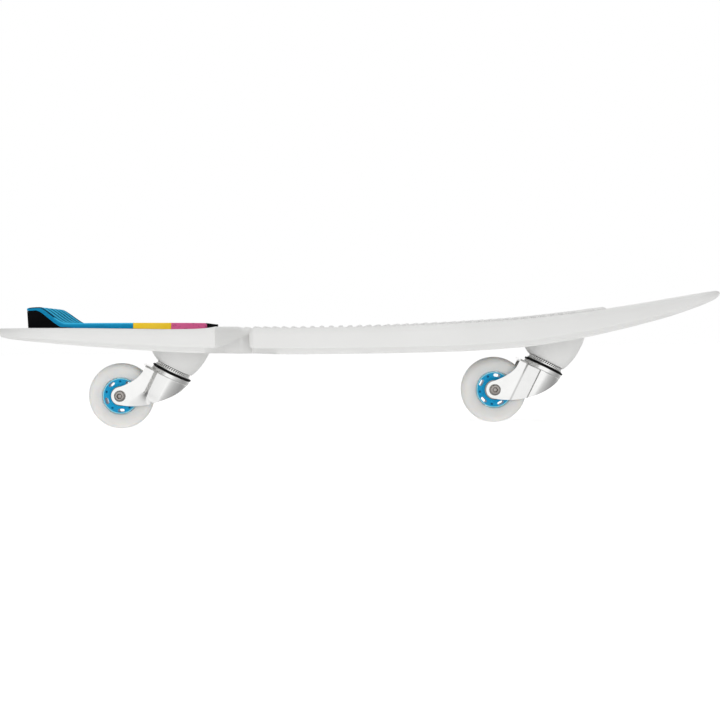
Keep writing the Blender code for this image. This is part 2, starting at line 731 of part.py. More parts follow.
def build_pad(pad_line):
    toe = PAD_BACK + KICK_TOE
    core = pad_underside(PAD_BACK, toe - KICK_TOE_BLUNT)
    core += [(x, z - FIT_GAP) for x, z in kick_underside()]
    build_pad_section("kick_core", core, PAD_BACK, toe, 6, "foam_black", pad_line)
    skin = pad_underside(toe, PAD_BLUE_END) + [(PAD_BLUE_END, PAD_THICKNESS)]
    skin += reversed(kick_topside())
    skin += reversed(kick_underside())
    build_pad_section("pad_blue", skin, PAD_BACK, PAD_BLUE_END, 10, "foam_blue", pad_line)
    start = PAD_BLUE_END + FIT_GAP
    for name, end, material in (
            ("pad_yellow", PAD_YELLOW_END, "foam_yellow"), ("pad_pink", PAD_PINK_END, "foam_pink"),
            ("pad_tip", PAD_TIP_END, "foam_black")):
        flat = pad_underside(start, end) + [(end, PAD_THICKNESS), (start, PAD_THICKNESS)]
        build_pad_section(name, flat, start, end, 5, material, pad_line)
        start = end + FIT_GAP


# Casters

def leg_plan(wall):
    """Plan of the fork: parallel legs, a flare, and a round front, set in by the wall."""
    radius = SKIRT_RADIUS - wall
    leg = LEG_OUTER_Y - wall
    start = math.degrees(math.acos(LEG_BEND_FRONT / radius))
    front = arc((0.0, 0.0), radius, start, -start, 12)
    back = -TRAIL - CUTTER_REACH
    return [(back, leg), (LEG_BEND_REAR, leg)] + front + [(LEG_BEND_REAR, -leg), (back, -leg)]


def fork_side():
    """Side outline of the fork in the caster's own frame, as (x, z) points."""
    boss = arc((-TRAIL, -DROP), BOSS_RADIUS, 135, 285, 8)
    back_top = (LEG_BACK, CROWN_TOP - LEG_BACK_DROP)
    near_back_top = (LEG_BACK, back_top[1] - LEG_BACK_EASE)
    near_boss = (boss[0][0] + BOSS_EASE_BACK, boss[0][1] + BOSS_EASE_BACK)
    back = bezier(back_top, near_back_top, near_boss, boss[0], 5)
    front_top = (CROWN_RADIUS, CROWN_TOP)
    past_boss = (boss[-1][0] + BOSS_EASE_FRONT[0], boss[-1][1] + BOSS_EASE_FRONT[1])
    near_front_top = (front_top[0] - LEG_FRONT_EASE[0], front_top[1] - LEG_FRONT_EASE[1])
    front = bezier(boss[-1], past_boss, near_front_top, front_top, 8)
    above = CROWN_TOP + CUTTER_REACH
    return [(CROWN_RADIUS, above), (LEG_BACK, above), back_top] + back + boss[1:] + front


def lip_side():
    """The plate's rear edge, turned up into a stiffening lip."""
    start = LEG_BACK + LIP_ROOT
    tip = LEG_BACK - LIP_REACH
    middle = (LEG_BACK + tip) / 2
    dip = CROWN_TOP - LIP_DIP
    end = CROWN_TOP + LIP_RISE
    return [
        (start, CROWN_TOP), (middle, dip), (tip, end), (tip, end - LIP_EDGE / 2),
        (middle, dip - LIP_EDGE), (start, CROWN_UNDERSIDE),
    ]


def build_fork(prefix, swivel):
    fork = plate(prefix + "_fork", leg_plan(0.0), -CUTTER_REACH, CROWN_TOP)
    as_part(fork, MATERIALS["chrome"], swivel)
    inner = plate(prefix + "_fork_inside", leg_plan(SHEET), -2 * CUTTER_REACH, CROWN_UNDERSIDE)
    combine(fork, as_cutter(inner, swivel), "DIFFERENCE")
    side = plate(prefix + "_fork_side", fork_side(), -CUTTER_REACH, CUTTER_REACH, standing=True)
    combine(fork, as_cutter(side, swivel), "INTERSECT")
    rim = ring(
        prefix + "_crown_rim", SEAL_INNER_RADIUS, CROWN_RADIUS,
        CROWN_RIM_TOP - CROWN_RIM_DEPTH, CROWN_RIM_TOP, SWIVEL_STEPS)
    combine(fork, as_cutter(rim, swivel), "UNION")
    lip_half = LEG_INNER_Y + LIP_LAP
    lip = plate(prefix + "_lip", lip_side(), -lip_half, lip_half, standing=True)
    combine(fork, as_cutter(lip, swivel), "UNION")
    kingpin_hole = cylinder(
        prefix + "_kingpin_hole", KINGPIN_HOLE, -CUTTER_REACH, CUTTER_REACH, SWIVEL_STEPS)
    combine(fork, as_cutter(kingpin_hole, swivel), "DIFFERENCE")
    axle_hole = cylinder(
        prefix + "_axle_hole", AXLE_HOLE, -CUTTER_REACH, CUTTER_REACH, BEARING_STEPS, along_y=True)
    axle_hole.location = (-TRAIL, 0.0, -DROP)
    combine(fork, as_cutter(axle_hole, swivel), "DIFFERENCE")


def ball_ring(name, balls, ball_radius, pitch_radius, middle):
    """Balls joined to the cage between them, as a beaded ring about Z."""
    swells = (1.0, 0.85, 0.35, 0.85)
    bm = bmesh.new()
    rows = []
    for index in range(balls * len(swells)):
        turn = 2 * math.pi * index / (balls * len(swells))
        radius = ball_radius * swells[index % len(swells)]
        row = []
        for across, up in arc((0.0, 0.0), radius, 0, 300, 5):
            reach = pitch_radius + across
            row.append(bm.verts.new((reach * math.cos(turn), reach * math.sin(turn), middle + up)))
        rows.append(row)
    for row, after in zip(rows, rows[1:] + rows[:1]):
        for i in range(len(row)):
            j = (i + 1) % len(row)
            bm.faces.new((row[i], row[j], after[j], after[i]))
    return mesh_object(name, bm)


def build_swivel(prefix, fixed_frame, swivel):
    """Swivel bearing and kingpin, from the fairing's insert down to the bolt's head."""
    insert = ring(
        prefix + "_insert", KINGPIN_HOLE, INSERT_RADIUS,
        FAIRING_FOOT, FAIRING_FOOT + INSERT_LENGTH, SMALL_STEPS)
    as_part(insert, MATERIALS["steel"], fixed_frame)
    cup = ring(prefix + "_upper_cup", KINGPIN_HOLE, CUP_RADIUS, CUP_BOTTOM, CUP_TOP, SWIVEL_STEPS)
    as_part(cup, MATERIALS["steel"], fixed_frame)
    seal = ring(prefix + "_dust_seal", SEAL_INNER_RADIUS, SEAL_RADIUS, SEAL_BOTTOM, SEAL_TOP, SWIVEL_STEPS)
    as_part(seal, MATERIALS["rubber"], swivel)
    middle = CUP_BOTTOM - RUN_GAP - SWIVEL_BALL_RADIUS
    balls = ball_ring(prefix + "_ball_ring", SWIVEL_BALLS, SWIVEL_BALL_RADIUS, SWIVEL_PITCH_RADIUS, middle)
    as_part(balls, MATERIALS["steel"], swivel)
    race = ring(
        prefix + "_lower_race", RACE_BORE, SEAL_INNER_RADIUS - FIT_GAP, RACE_BOTTOM, RACE_TOP, SWIVEL_STEPS)
    as_part(race, MATERIALS["steel"], swivel)
    washer = ring(
        prefix + "_kingpin_washer", KINGPIN_HOLE, KINGPIN_WASHER_RADIUS,
        KINGPIN_WASHER_BOTTOM, KINGPIN_WASHER_TOP, SMALL_STEPS)
    as_part(washer, MATERIALS["steel"], fixed_frame)
    corner = KINGPIN_HEAD_FLATS / 2 / math.cos(math.radians(30))
    head_bottom = KINGPIN_HEAD_TOP - KINGPIN_HEAD_HEIGHT
    kingpin = cylinder(prefix + "_kingpin", corner, head_bottom, KINGPIN_HEAD_TOP, 6)
    as_part(kingpin, MATERIALS["steel"], fixed_frame)
    shank = cylinder(
        prefix + "_kingpin_shank", KINGPIN_RADIUS, KINGPIN_HEAD_TOP - KINGPIN_HEAD_HEIGHT / 2,
        KINGPIN_HEAD_TOP + KINGPIN_LENGTH, SWIVEL_STEPS)
    combine(kingpin, as_cutter(shank, fixed_frame), "UNION")


def build_axle(prefix, axle):
    """Axle bolt, nut, spacer and washers, along Y through the fork."""
    seat = LEG_OUTER_Y + FIT_GAP
    head_top = seat + AXLE_HEAD_HEIGHT
    end = seat + AXLE_NUT_HEIGHT + AXLE_END_SHOWN
    rim = (AXLE_HEAD_RADIUS, -seat - AXLE_HEAD_RIM)
    dome = bezier(rim, (AXLE_HEAD_RADIUS, (rim[1] - head_top) / 2), (AXLE_HEAD_RADIUS, -head_top),
                  (AXLE_HEAD_FLAT, -head_top), 3)
    profile = [(0.0, end), (AXLE_RADIUS, end), (AXLE_RADIUS, -seat), (AXLE_HEAD_RADIUS, -seat), rim]
    profile += dome + [(0.0, -head_top)]
    bolt = turn_to_y(turned(prefix + "_axle_bolt", profile, BEARING_STEPS, closed=False))
    as_part(bolt, MATERIALS["steel"], axle)
    socket = cylinder(
        prefix + "_axle_socket", AXLE_SOCKET_RADIUS, -head_top - CUTTER_REACH,
        -head_top + AXLE_SOCKET_DEPTH, 6, along_y=True)
    combine(bolt, as_cutter(socket, axle), "DIFFERENCE")
    corner = AXLE_NUT_FLATS / 2 / math.cos(math.radians(30))
    nut = cylinder(prefix + "_axle_nut", corner, seat, seat + AXLE_NUT_HEIGHT, 6, along_y=True)
    as_part(nut, MATERIALS["steel"], axle)
    bore = cylinder(
        prefix + "_nut_bore", AXLE_HOLE, -CUTTER_REACH, CUTTER_REACH, BEARING_STEPS, along_y=True)
    combine(nut, as_cutter(bore, axle), "DIFFERENCE")
    reach = HALF_WIDTH_OF_WHEEL - BEARING_WIDTH - FIT_GAP
    spacer = ring(prefix + "_axle_spacer", AXLE_HOLE, INNER_RING_RADIUS, -reach, reach, SMALL_STEPS)
    as_part(turn_to_y(spacer), MATERIALS["steel"], axle)
    for side, sign in (("left", 1), ("right", -1)):
        low, high = sorted((sign * WASHER_INNER_Y, sign * WASHER_OUTER_Y))
        washer = ring(f"{prefix}_{side}_washer", AXLE_HOLE, WASHER_RADIUS, low, high, SMALL_STEPS)
        as_part(turn_to_y(washer), MATERIALS["steel"], axle)


def build_bearing(prefix, side, sign, wheel, axle):
    """One ball bearing: outer ring with its shield, inner ring, and balls in a cage."""
    def heights(points):
        placed = [(r, sign * y) for r, y in points]
        return placed if sign > 0 else list(reversed(placed))

    outside = HALF_WIDTH_OF_WHEEL
    inside = outside - BEARING_WIDTH
    bore = BEARING_RADIUS - BEARING_RING
    shield = INNER_RING_RADIUS + RUN_GAP
    shield_inside = outside - SHIELD_THICKNESS
    profile = heights([
        (BEARING_RADIUS, outside), (BEARING_RADIUS, inside), (bore, inside),
        (bore, shield_inside), (shield, shield_inside), (shield, outside)])
    outer = turned(f"{prefix}_{side}_bearing_outer", profile, BEARING_STEPS)
    as_part(turn_to_y(outer), MATERIALS["steel"], wheel)
    low, high = sorted((sign * inside, sign * outside))
    inner = ring(f"{prefix}_{side}_bearing_inner", AXLE_HOLE, INNER_RING_RADIUS, low, high, SMALL_STEPS)
    as_part(turn_to_y(inner), MATERIALS["steel"], axle)
    balls = ball_ring(
        f"{prefix}_{side}_bearing_balls", WHEEL_BALLS, WHEEL_BALL_RADIUS, BALL_PITCH_RADIUS, (low + high) / 2)
    as_part(turn_to_y(balls), MATERIALS["steel"], wheel)


def window_cutter(name, phase):
    """Five oval windows with a small round hole between each two, in world angles."""
    shapes = []
    straight = (WINDOW_LENGTH - WINDOW_WIDTH) / 2
    oval = arc((straight, 0.0), WINDOW_WIDTH / 2, -90, 90, 4)
    oval += arc((-straight, 0.0), WINDOW_WIDTH / 2, 90, 270, 4)
    for index in range(WINDOW_COUNT):
        angle = math.radians(phase + 360 * index / WINDOW_COUNT)
        outline = []
        for along, across in oval:
            radius = WINDOW_PITCH_RADIUS + across
            outline.append((
                radius * math.cos(angle) - along * math.sin(angle),
                radius * math.sin(angle) + along * math.cos(angle)))
        shapes.append(plate("window", outline, -WHEEL_WIDTH, WHEEL_WIDTH))
        between = angle + math.pi / WINDOW_COUNT
        centre = (DOT_PITCH_RADIUS * math.cos(between), DOT_PITCH_RADIUS * math.sin(between))
        shapes.append(plate("dot", arc(centre, DOT_RADIUS, 0, 300, 5), -WHEEL_WIDTH, WHEEL_WIDTH))
    cutter = joined(name, shapes)
    cutter.rotation_euler = (math.radians(90), 0.0, 0.0)
    return cutter


def build_wheel(prefix, phase, wheel, axle):
    half = HALF_WIDTH_OF_WHEEL
    face = half - CORE_RECESS
    seat = half - BEARING_WIDTH - FIT_GAP
    bore = BEARING_RADIUS + FIT_GAP
    ledge = BEARING_RADIUS - BEARING_RING
    hub = bore + HUB_WALL
    hub_foot = hub + WHEEL_CHAMFER
    profile = [
        (CORE_RADIUS, face), (CORE_RADIUS, -face), (hub_foot, -face), (hub, -half), (bore, -half),
        (bore, -seat), (ledge, -seat), (ledge, seat), (bore, seat), (bore, half), (hub, half),
        (hub_foot, face)]
    core = turned(prefix + "_wheel_core", profile, WHEEL_STEPS)
    as_part(turn_to_y(core), MATERIALS["core_blue"], wheel)
    combine(core, as_cutter(window_cutter(prefix + "_windows", phase), wheel), "DIFFERENCE")
    crown = []
    for across, along in arc((0.0, 0.0), 1.0, 90, -90, 6):
        crown.append((mix(TYRE_FLAT_RADIUS, WHEEL_RADIUS, across), half * along))
    seat = CORE_RADIUS + FIT_GAP
    lead = seat + WHEEL_CHAMFER
    bore_side = [(lead, -half), (seat, -face), (seat, face), (lead, half)]
    tyre = turned(prefix + "_tyre", crown + bore_side, WHEEL_STEPS)
    as_part(turn_to_y(tyre), MATERIALS["urethane"], wheel)
    for side, sign in (("left", 1), ("right", -1)):
        build_bearing(prefix, side, sign, wheel, axle)


def build_caster(prefix, phase, fixed_frame, swivel):
    build_swivel(prefix, fixed_frame, swivel)
    build_fork(prefix, swivel)
    axle = new_empty(prefix + "_axle_line", PARTS, (-TRAIL, 0.0, -DROP), swivel, -RAKE)
    wheel = new_empty(prefix + "_wheel_line", PARTS, (0.0, 0.0, 0.0), axle)
    build_axle(prefix, axle)
    build_wheel(prefix, phase, wheel, axle)


# Build

clear_scene()
PARTS = new_collection("waveboard")
CUTTERS = new_collection("cutters")
MATERIALS = {
    "white_plastic": new_material("white_plastic", WHITE_PLASTIC, 0.35),
    "foam_black": new_material("foam_black", FOAM_BLACK, 0.80),
    "foam_blue": new_material("foam_blue", FOAM_BLUE, 0.70),
    "foam_yellow": new_material("foam_yellow", FOAM_YELLOW, 0.70),
    "foam_pink": new_material("foam_pink", FOAM_PINK, 0.70),
    "steel": new_material("steel", STEEL, 0.35, 1.0),
    "chrome": new_material("chrome", CHROME, 0.15, 1.0),
    "rubber": new_material("rubber", RUBBER_BLACK, 0.60),
    "core_blue": new_material("core_blue", CORE_BLUE, 0.35),
    "urethane": new_material("urethane", URETHANE, 0.40),
}

tail_top = new_empty(
    "tail_top", PARTS, (TAIL_RAIL_END, 0.0, PAD_LINE_HEIGHT), None, math.atan(PAD_LINE_SLOPE))
build_pad(new_empty("pad_line", PARTS, (-TAIL_RAIL_LENGTH, 0.0, 0.0), tail_top))

CASTERS = (
    ("rear", TAIL_TIP + REAR_AXLE_INSET, 55, "tail_deck"),
    ("front", NOSE_TIP - FRONT_AXLE_INSET, 7, "front_deck"),
)
for prefix, axle_x, phase, deck_name in CASTERS:
    centre = (axle_x + CASTER_REACH, 0.0, WHEEL_RADIUS + CASTER_RISE)
    fixed_frame = new_empty(prefix + "_mount_line", PARTS, centre, None, RAKE)
    swivel = new_empty(prefix + "_swivel_line", PARTS, centre, None, RAKE)
    build_caster(prefix, phase, fixed_frame, swivel)
    build_deck_half(deck_name, deck_name == "tail_deck", fixed_frame, centre)
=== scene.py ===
import math

import bmesh
import bpy
from mathutils import Matrix, Vector
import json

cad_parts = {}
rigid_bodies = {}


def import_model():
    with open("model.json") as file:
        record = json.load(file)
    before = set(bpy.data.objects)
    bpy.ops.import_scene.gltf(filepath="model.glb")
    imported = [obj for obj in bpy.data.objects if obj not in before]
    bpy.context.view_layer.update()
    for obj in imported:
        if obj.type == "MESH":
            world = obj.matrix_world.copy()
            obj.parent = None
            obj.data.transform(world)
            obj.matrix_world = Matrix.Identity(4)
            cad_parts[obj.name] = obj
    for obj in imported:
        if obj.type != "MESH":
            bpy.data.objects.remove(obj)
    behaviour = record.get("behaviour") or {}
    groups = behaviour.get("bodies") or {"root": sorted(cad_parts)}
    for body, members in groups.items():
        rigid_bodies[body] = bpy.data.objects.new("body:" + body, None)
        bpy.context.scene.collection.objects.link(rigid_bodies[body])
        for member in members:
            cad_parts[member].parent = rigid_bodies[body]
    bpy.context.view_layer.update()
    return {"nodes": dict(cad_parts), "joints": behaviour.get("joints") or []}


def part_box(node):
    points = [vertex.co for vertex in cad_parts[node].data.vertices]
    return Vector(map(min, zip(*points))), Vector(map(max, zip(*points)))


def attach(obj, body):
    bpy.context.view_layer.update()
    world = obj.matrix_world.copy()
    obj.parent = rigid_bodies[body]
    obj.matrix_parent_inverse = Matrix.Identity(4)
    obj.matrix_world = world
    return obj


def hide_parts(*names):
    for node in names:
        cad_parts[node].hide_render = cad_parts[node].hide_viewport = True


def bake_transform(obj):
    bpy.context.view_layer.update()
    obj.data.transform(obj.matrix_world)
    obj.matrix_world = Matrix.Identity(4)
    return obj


# Looks of the waveboard, in metres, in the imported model's frame: +X to the nose, +Z up.

for start_object in list(bpy.data.objects):
    bpy.data.objects.remove(start_object, do_unlink=True)
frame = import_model()
NODES = frame["nodes"]
JOINTS = {joint["name"]: joint for joint in frame["joints"]}

# Deck plan: distances in from the tail's tip, or from the nose, with half widths
TAIL_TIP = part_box("tail_deck")[0].x
NOSE_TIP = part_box("front_deck")[1].x
TAIL_HALF_WIDTHS = ((0.000, 0.0800), (0.079, 0.0945), (0.169, 0.1030), (0.258, 0.1060))
NOSE_HALF_WIDTHS = (
    (0.000, 0.0190), (0.029, 0.0320), (0.089, 0.0575), (0.169, 0.0860), (0.249, 0.1060),
    (0.329, 0.1175), (0.409, 0.1200), (0.479, 0.1185), (0.543, 0.1120),
)
TAIL_ROUND = 0.0750
TAIL_ROUND_POWER = 2.2
NOSE_ROUND = 0.0300
TIP_ROUND = 0.0100
TIP_FLOOR = 0.14

# Deck waist
TAIL_RAIL_LENGTH = 0.2576
WAIST_LENGTH = 0.0372
WAIST_STEP = 0.0070
WAIST_STEP_LEAD = 0.0160
WAIST_HALF_WIDTH = 0.0580
SPINE_HALF_WIDTH = 0.0500
FLANGE_THICKNESS = 0.0070
RAIL_STEP = 0.0004
RAIL_CORNER = 0.0060
RAIL_CORNER_INSET = 0.0040
RAIL_END_ROUND = 0.0048

# Deck heights
TAIL_TOP = (
    (0.000, 0.1183), (0.069, 0.1173), (0.106, 0.1165), (0.159, 0.1150), (0.212, 0.1135),
    (0.232, 0.1134), (0.248, 0.1141), (0.258, 0.1156),
)
NOSE_TOP = (
    (0.000, 0.1495), (0.039, 0.1433), (0.099, 0.1340), (0.179, 0.1242), (0.259, 0.1172),
    (0.339, 0.1140), (0.409, 0.1128), (0.479, 0.1127), (0.543, 0.1135),
)
TAIL_UNDERSIDE = (
    (0.000, 0.1092), (0.024, 0.1055), (0.065, 0.1010), (0.139, 0.0938), (0.219, 0.0876), (0.279, 0.0846),
)
NOSE_UNDERSIDE = (
    (0.000, 0.1413), (0.027, 0.1309), (0.064, 0.1195), (0.102, 0.1103), (0.139, 0.1024), (0.189, 0.0934),
    (0.251, 0.0863), (0.319, 0.0834), (0.399, 0.0828), (0.479, 0.0832), (0.543, 0.0846),
)

# Deck section, with the facets that swell along the belly's edge; shares are limits near the tips
RAIL_TOP_RADIUS = 0.0080
RAIL_LOW_RADIUS = 0.0030
RAIL_TOP_SHARES = (0.5, 0.4)
RAIL_LOW_SHARES = (0.3, 0.15)
BELLY_DROP = 0.0063
BELLY_DROP_SHARE = 0.22
BELLY_INSET = 0.0120
BELLY_INSET_SHARE = 0.25
BELLY_CLEARANCE = 1.3
BELLY_RUN_IN = 0.0150
BELLY_RUN_OUT = 0.0100
BELLY_SPREAD = 0.0340
FACET_AT_RIB = 0.0004
FACET_BETWEEN_RIBS = 0.0026
FACET_LEAN = 1.35
FACET_FULLNESS = 0.7
FACET_SHARE = 0.85
SKIN = 0.0035
WALL = 0.0045
RIB = 0.0030
RIB_PITCH = 0.0410
LONG_RIB_SHARE = 0.40
TAIL_RIBS_INSET = 0.0340
NOSE_RIBS_INSET = 0.0577
TAIL_RIBS_END_INSET = 0.0090
NOSE_RIBS_START = 0.0112
TIP_REACH = 0.0300

# Grip bars on the front of the deck, and the two long blocks that end them
BAR_LEAD = 0.0068
WAIST_BAR_LEAD = -0.0066
BAR_PITCH = 0.01045
BAR_WIDTH = 0.0056
BAR_HEIGHT = 0.0018
NOSE_BAR_HEIGHT = 0.0030
BAR_ROOT = 0.0010
BAR_MARGIN = 0.0200
BAR_END_ROUND = 0.0030
BAR_END_STEP = 0.3
BAR_END_SHARE = 0.12
BAR_CORNER_SHARES = (0.45, 1.3)
STRINGER_WIDTH = 0.0140
LONG_BLOCKS = ((0.1785, 0.0200), (0.1565, 0.0135))
SLOPE_REACH = 0.0050

# Tail pad, with places measured from the tail's tip and heights from the pad's own straight line
PAD_LINE_HEIGHT = 0.1153
PAD_LINE_SLOPE = 0.0124
PAD_THICKNESS = 0.0050
PAD_BACK = 0.0440
PAD_BLUE_END = 0.1652
PAD_YELLOW_END = 0.2058
PAD_PINK_END = 0.2445
PAD_TIP_END = 0.2530
PAD_HALF_WIDTHS = (
    (0.044, 0.0590), (0.078, 0.0760), (0.129, 0.0860), (0.179, 0.0820), (0.214, 0.0640),
    (0.238, 0.0360), (0.253, 0.0060),
)
PAD_EDGE = 0.0012
PAD_EDGE_SHARES = (0.3, 0.45)
PAD_GAP = 0.0003
GROOVE_PITCH = 0.0270
GROOVE_WIDTH = 0.0150
GROOVE_WALL = 0.0012
GROOVE_SHARE = 0.70
GROOVE_DEPTH = 0.0040
TIP_THINNING = 0.0012
TIP_THINNING_REACH = 0.0120
KICK_HEIGHT = 0.0233
KICK_SKIN = 0.0036
KICK_CREST = 0.0104
KICK_TOE = 0.0420
KICK_SKIN_CREST = 0.0150
KICK_SKIN_TOE = 0.0468
KICK_CREST_HANDLE = (0.0075, -0.0012)
KICK_TOE_HANDLE = (-0.0095, 0.0030)
KICK_BACK_DROP = 0.0012
KICK_BACK_SKIN = 0.0028
KICK_BACK_LEAN = 0.0014
KICK_BACK_LEAN_REACH = 0.0180
TOE_GAP = 0.0008
TOE_GAP_REACH = 0.0120
KICK_BACK_ROUND = 0.0030
KICK_TOE_BLUNT = 0.0030

# Casters: a crease gives its place, its rise and its width above and below; handles shape the curves
RAKE = math.atan2(JOINTS["rear_swivel"]["axis"][0], JOINTS["rear_swivel"]["axis"][2])
TRAIL = 0.0406
DROP = 0.0507
SHEET = 0.0028
LEG_OUTER_Y = 0.0168
CROWN_TOP = -0.0050
CROWN_BEND = 0.0030
CROWN_RADIUS = 0.0235
CROWN_RIM_TOP = -0.0015
CROWN_RIM_ROUND = 0.0012
SKIRT_RADIUS = 0.0232
LEG_BEND_FRONT = 0.0010
CREASES = {
    "rear": ((-0.0153, 0.0043, 0.0048, 0.0310),),
    "front": ((-0.0196, 0.0012, 0.0036, 0.0036), (-0.0040, 0.0014, 0.0015, 0.0015)),
}
CREASE_EASE = 0.22
CREASE_FADE = (-0.0310, -0.0500)
LEG_BACK = -0.0292
LEG_BACK_DROP = 0.0060
LEG_BACK_HANDLE = (0.0, -0.0130)
BOSS_RADIUS = 0.0100
BOSS_BACK_HANDLE = (0.0080, 0.0080)
BOSS_FRONT_HANDLE = (0.0220, 0.0050)
LEG_FRONT_HANDLE = (-0.0115, -0.0310)
LIP_REACH = 0.0036
LIP_RISE = 0.0006
LIP_EDGE = 0.0018
LIP_ROOT = 0.0030
LIP_TOP_HANDLES = ((-0.0033, -0.0007), (0.0013, -0.0015))
LIP_LOW_HANDLES = ((0.0013, -0.0022), (-0.0033, 0.0003))
SHEET_EDGE = 0.0006
CUTTER_REACH = 0.2000

# Swivel bearing and fairing
SEAL_RADIUS = 0.0240
SEAL_BOTTOM = -0.0014
SEAL_TOP = 0.0003
SEAL_INNER_RADIUS = 0.0183
SEAL_ROUND = 0.0004
CUP_RADIUS = 0.0205
CUP_BOTTOM = 0.0008
CUP_TOP = 0.0053
CUP_EDGE = 0.0002
CUP_BORE = 0.0053
CUP_LIP_RADIUS = 0.0219
CUP_LIP_HEIGHT = 0.0014
CUP_LIP_ROUND = 0.0002
KNURLS = 46
KNURL_DEPTH = 0.0010
KNURL_SLANT = 1.2
KNURL_SHARPNESS = 4
KNURL_STEPS = 10
# How far below the teeth's tops the cup's faces take painted shade
KNURL_PAINTED_SHADE_BELOW = 0.00045
FAIRING_FOOT = 0.0056
FAIRING_FOOT_RADIUS = 0.0220
FAIRING_TOP_HEIGHT = 0.0320
FAIRING_TOP_SHIFT = 0.0115
FAIRING_HALF_LENGTH = 0.0365
FAIRING_HALF_WIDTH = 0.0300
FAIRING_BULGE = 0.42
INSERT_HOLE = 0.0083
INSERT_HOLE_DEPTH = 0.0210
KINGPIN_HOLE = 0.0053

# Wheels and axles
WHEEL_RADIUS = 0.0380
HALF_WHEEL = 0.0120
TYRE_FLAT_RADIUS = 0.0285
TYRE_SQUARENESS = 2.8
CORE_RADIUS = 0.02075
CORE_RECESS = 0.0015
CORE_GAP = 0.0003
CORE_PALE_RIM = 0.0012
SEAT_RADIUS = 0.0113
BEARING_LEDGE = 0.0092
SEAT_HEIGHT = 0.0047
HUB_WALL = 0.0016
HUB_CHAMFER = 0.0003
HUB_FOOT = (0.0002, 0.0006)
RIM_CHAMFER = 0.0004
WHEEL_CHAMFER = 0.0010
BORE_CHAMFER = (0.0003, 0.0002)
WINDOW_COUNT = 5
WINDOW_PITCH_RADIUS = 0.0168
WINDOW_LENGTH = 0.0078
WINDOW_WIDTH = 0.0036
DOT_RADIUS = 0.0013
DOT_DEPTH = 0.0040
WINDOW_PHASES = {"rear": 55, "front": 7}
AXIS_GAP = 0.00001
AXLE_SEAT = 0.0171
AXLE_RADIUS = 0.0040
AXLE_HEAD_RADIUS = 0.0066
AXLE_HEAD_HEIGHT = 0.0042
AXLE_HEAD_RIM = 0.0012
AXLE_HEAD_FLAT = 0.0040
HEAD_CHAMFER = 0.0003
DOME_HANDLES = (0.0015, 0.0018)
THREAD_CHAMFER = 0.0005
AXLE_SOCKET_RADIUS = 0.0034
AXLE_SOCKET_FLOOR = 0.0021
AXLE_SOCKET_DEPTH = 0.0024
AXLE_NUT_FLATS = 0.0130
AXLE_NUT_HEIGHT = 0.0070
AXLE_END_SHOWN = 0.0010
AXLE_HOLE = 0.0043
NUT_COLLAR_RADIUS = 0.0056
NUT_COLLAR_HEIGHT = 0.0016
NUT_COLLAR_ROUND = 0.0006
NUT_CHAMFER = 0.0008
NUT_OVERLAP = 0.0002
NUT_CUT_BELOW = 0.0010

# Steps in a full turn of the round parts
ROUND_STEPS = 96
HOLE_STEPS = 32
BOLT_STEPS = 72
CORE_STEPS = 120
TYRE_STEPS = 144

# Colours as linear red, green, blue
WHITE_PLASTIC = (0.80, 0.80, 0.79)
WORN_PLASTIC = (0.74, 0.735, 0.72)
FOAM_BLACK = (0.0025, 0.0025, 0.003)
FOAM_GREY = (0.008, 0.008, 0.009)
FOAM_BLUE = (0.006, 0.240, 0.475)
FOAM_PALE_BLUE = (0.012, 0.270, 0.500)
# Painted light: the ridge blue lightens the foam's upward faces, as if lit from above
FOAM_PAINTED_LIGHT_BLUE = (0.050, 0.500, 0.800)
# Painted shade: the groove blue darkens the grooves' upward faces, as if in shadow
FOAM_PAINTED_SHADE_BLUE = (0.001, 0.016, 0.048)
FOAM_STREAK_BLUE = (0.004, 0.130, 0.260)
FOAM_YELLOW = (0.940, 0.625, 0.024)
FOAM_PALE_YELLOW = (0.90, 0.66, 0.10)
FOAM_PINK = (0.760, 0.130, 0.320)
FOAM_PALE_PINK = (0.66, 0.16, 0.32)
STEEL = (0.62, 0.62, 0.62)
CHROME = (0.95, 0.95, 0.94)
DARK_STEEL = (0.44, 0.41, 0.39)
RUBBER_BLACK = (0.003, 0.003, 0.003)
RUBBER_GREY = (0.014, 0.014, 0.014)
CORE_BLUE = (0.001, 0.330, 0.640)
CORE_LIGHT_BLUE = (0.020, 0.46, 0.74)
CORE_PALE_BLUE = (0.300, 0.740, 0.880)
CORE_LIGHTEST_BLUE = (0.420, 0.82, 0.92)
URETHANE = (0.86, 0.85, 0.83)
WORN_URETHANE = (0.80, 0.785, 0.76)
FLOOR = (0.90, 0.90, 0.90)
WHITE = (1.0, 1.0, 1.0, 1.0)

# Other looks: gloss, the slopes over which the blue foam's upward faces take painted light, and the pink
# foam's ragged black end
FOAM_GLOSS = 0.04
RUBBER_GLOSS = 0.15
CORE_GLOSS = 0.20
FLOOR_GLOSS = 0.1
FLOOR_ROUGHNESS = 0.9
BLOTCH_SHADE = 0.72
FOAM_PAINTED_LIGHT_SLOPE = (0.05, 0.20)
RAGGED_EDGE = 0.004
BLACK_EDGE = (0.0030, 0.0020)

# Places of the colour sockets among those of a Mix node
MIX_COLOUR_A = 6
MIX_COLOUR_B = 7
MIX_COLOUR_RESULT = 2

# Camera, which looks along +Y from beside the board
CAMERA_PLACE = (-0.0350, -1.72, 0.0981)
CAMERA_ROLL = math.radians(0.97)
CAMERA_LENS = 73.78
FRAME_WIDTH = 720
AXIS_IN_FRAME = (330.5, 340.5)

# Light: pairs give the level under the board and away from it, or where the change starts and ends
FLOOR_GLOW = (0.36, 0.29)
FLOOR_GLOW_SPAN = (0.03, 0.60)
FLOOR_GLOW_SEEN = 0.62
# Painted shadow: the floor as mirrors see it is darker under the board
FLOOR_MIRROR_SHADOW = (0.34, 1.00)
FLOOR_MIRROR_SHADOW_SPAN = (0.02, 0.34)
FLOOR_HALF_SIZE = 12.0
WORLD_LIGHT = 0.47
SIDE_LIGHT = 0.20
SIDE_SPAN = (0.30, 0.85)
TOP_POWER = 10.5
FRONT_POWER = 17.0

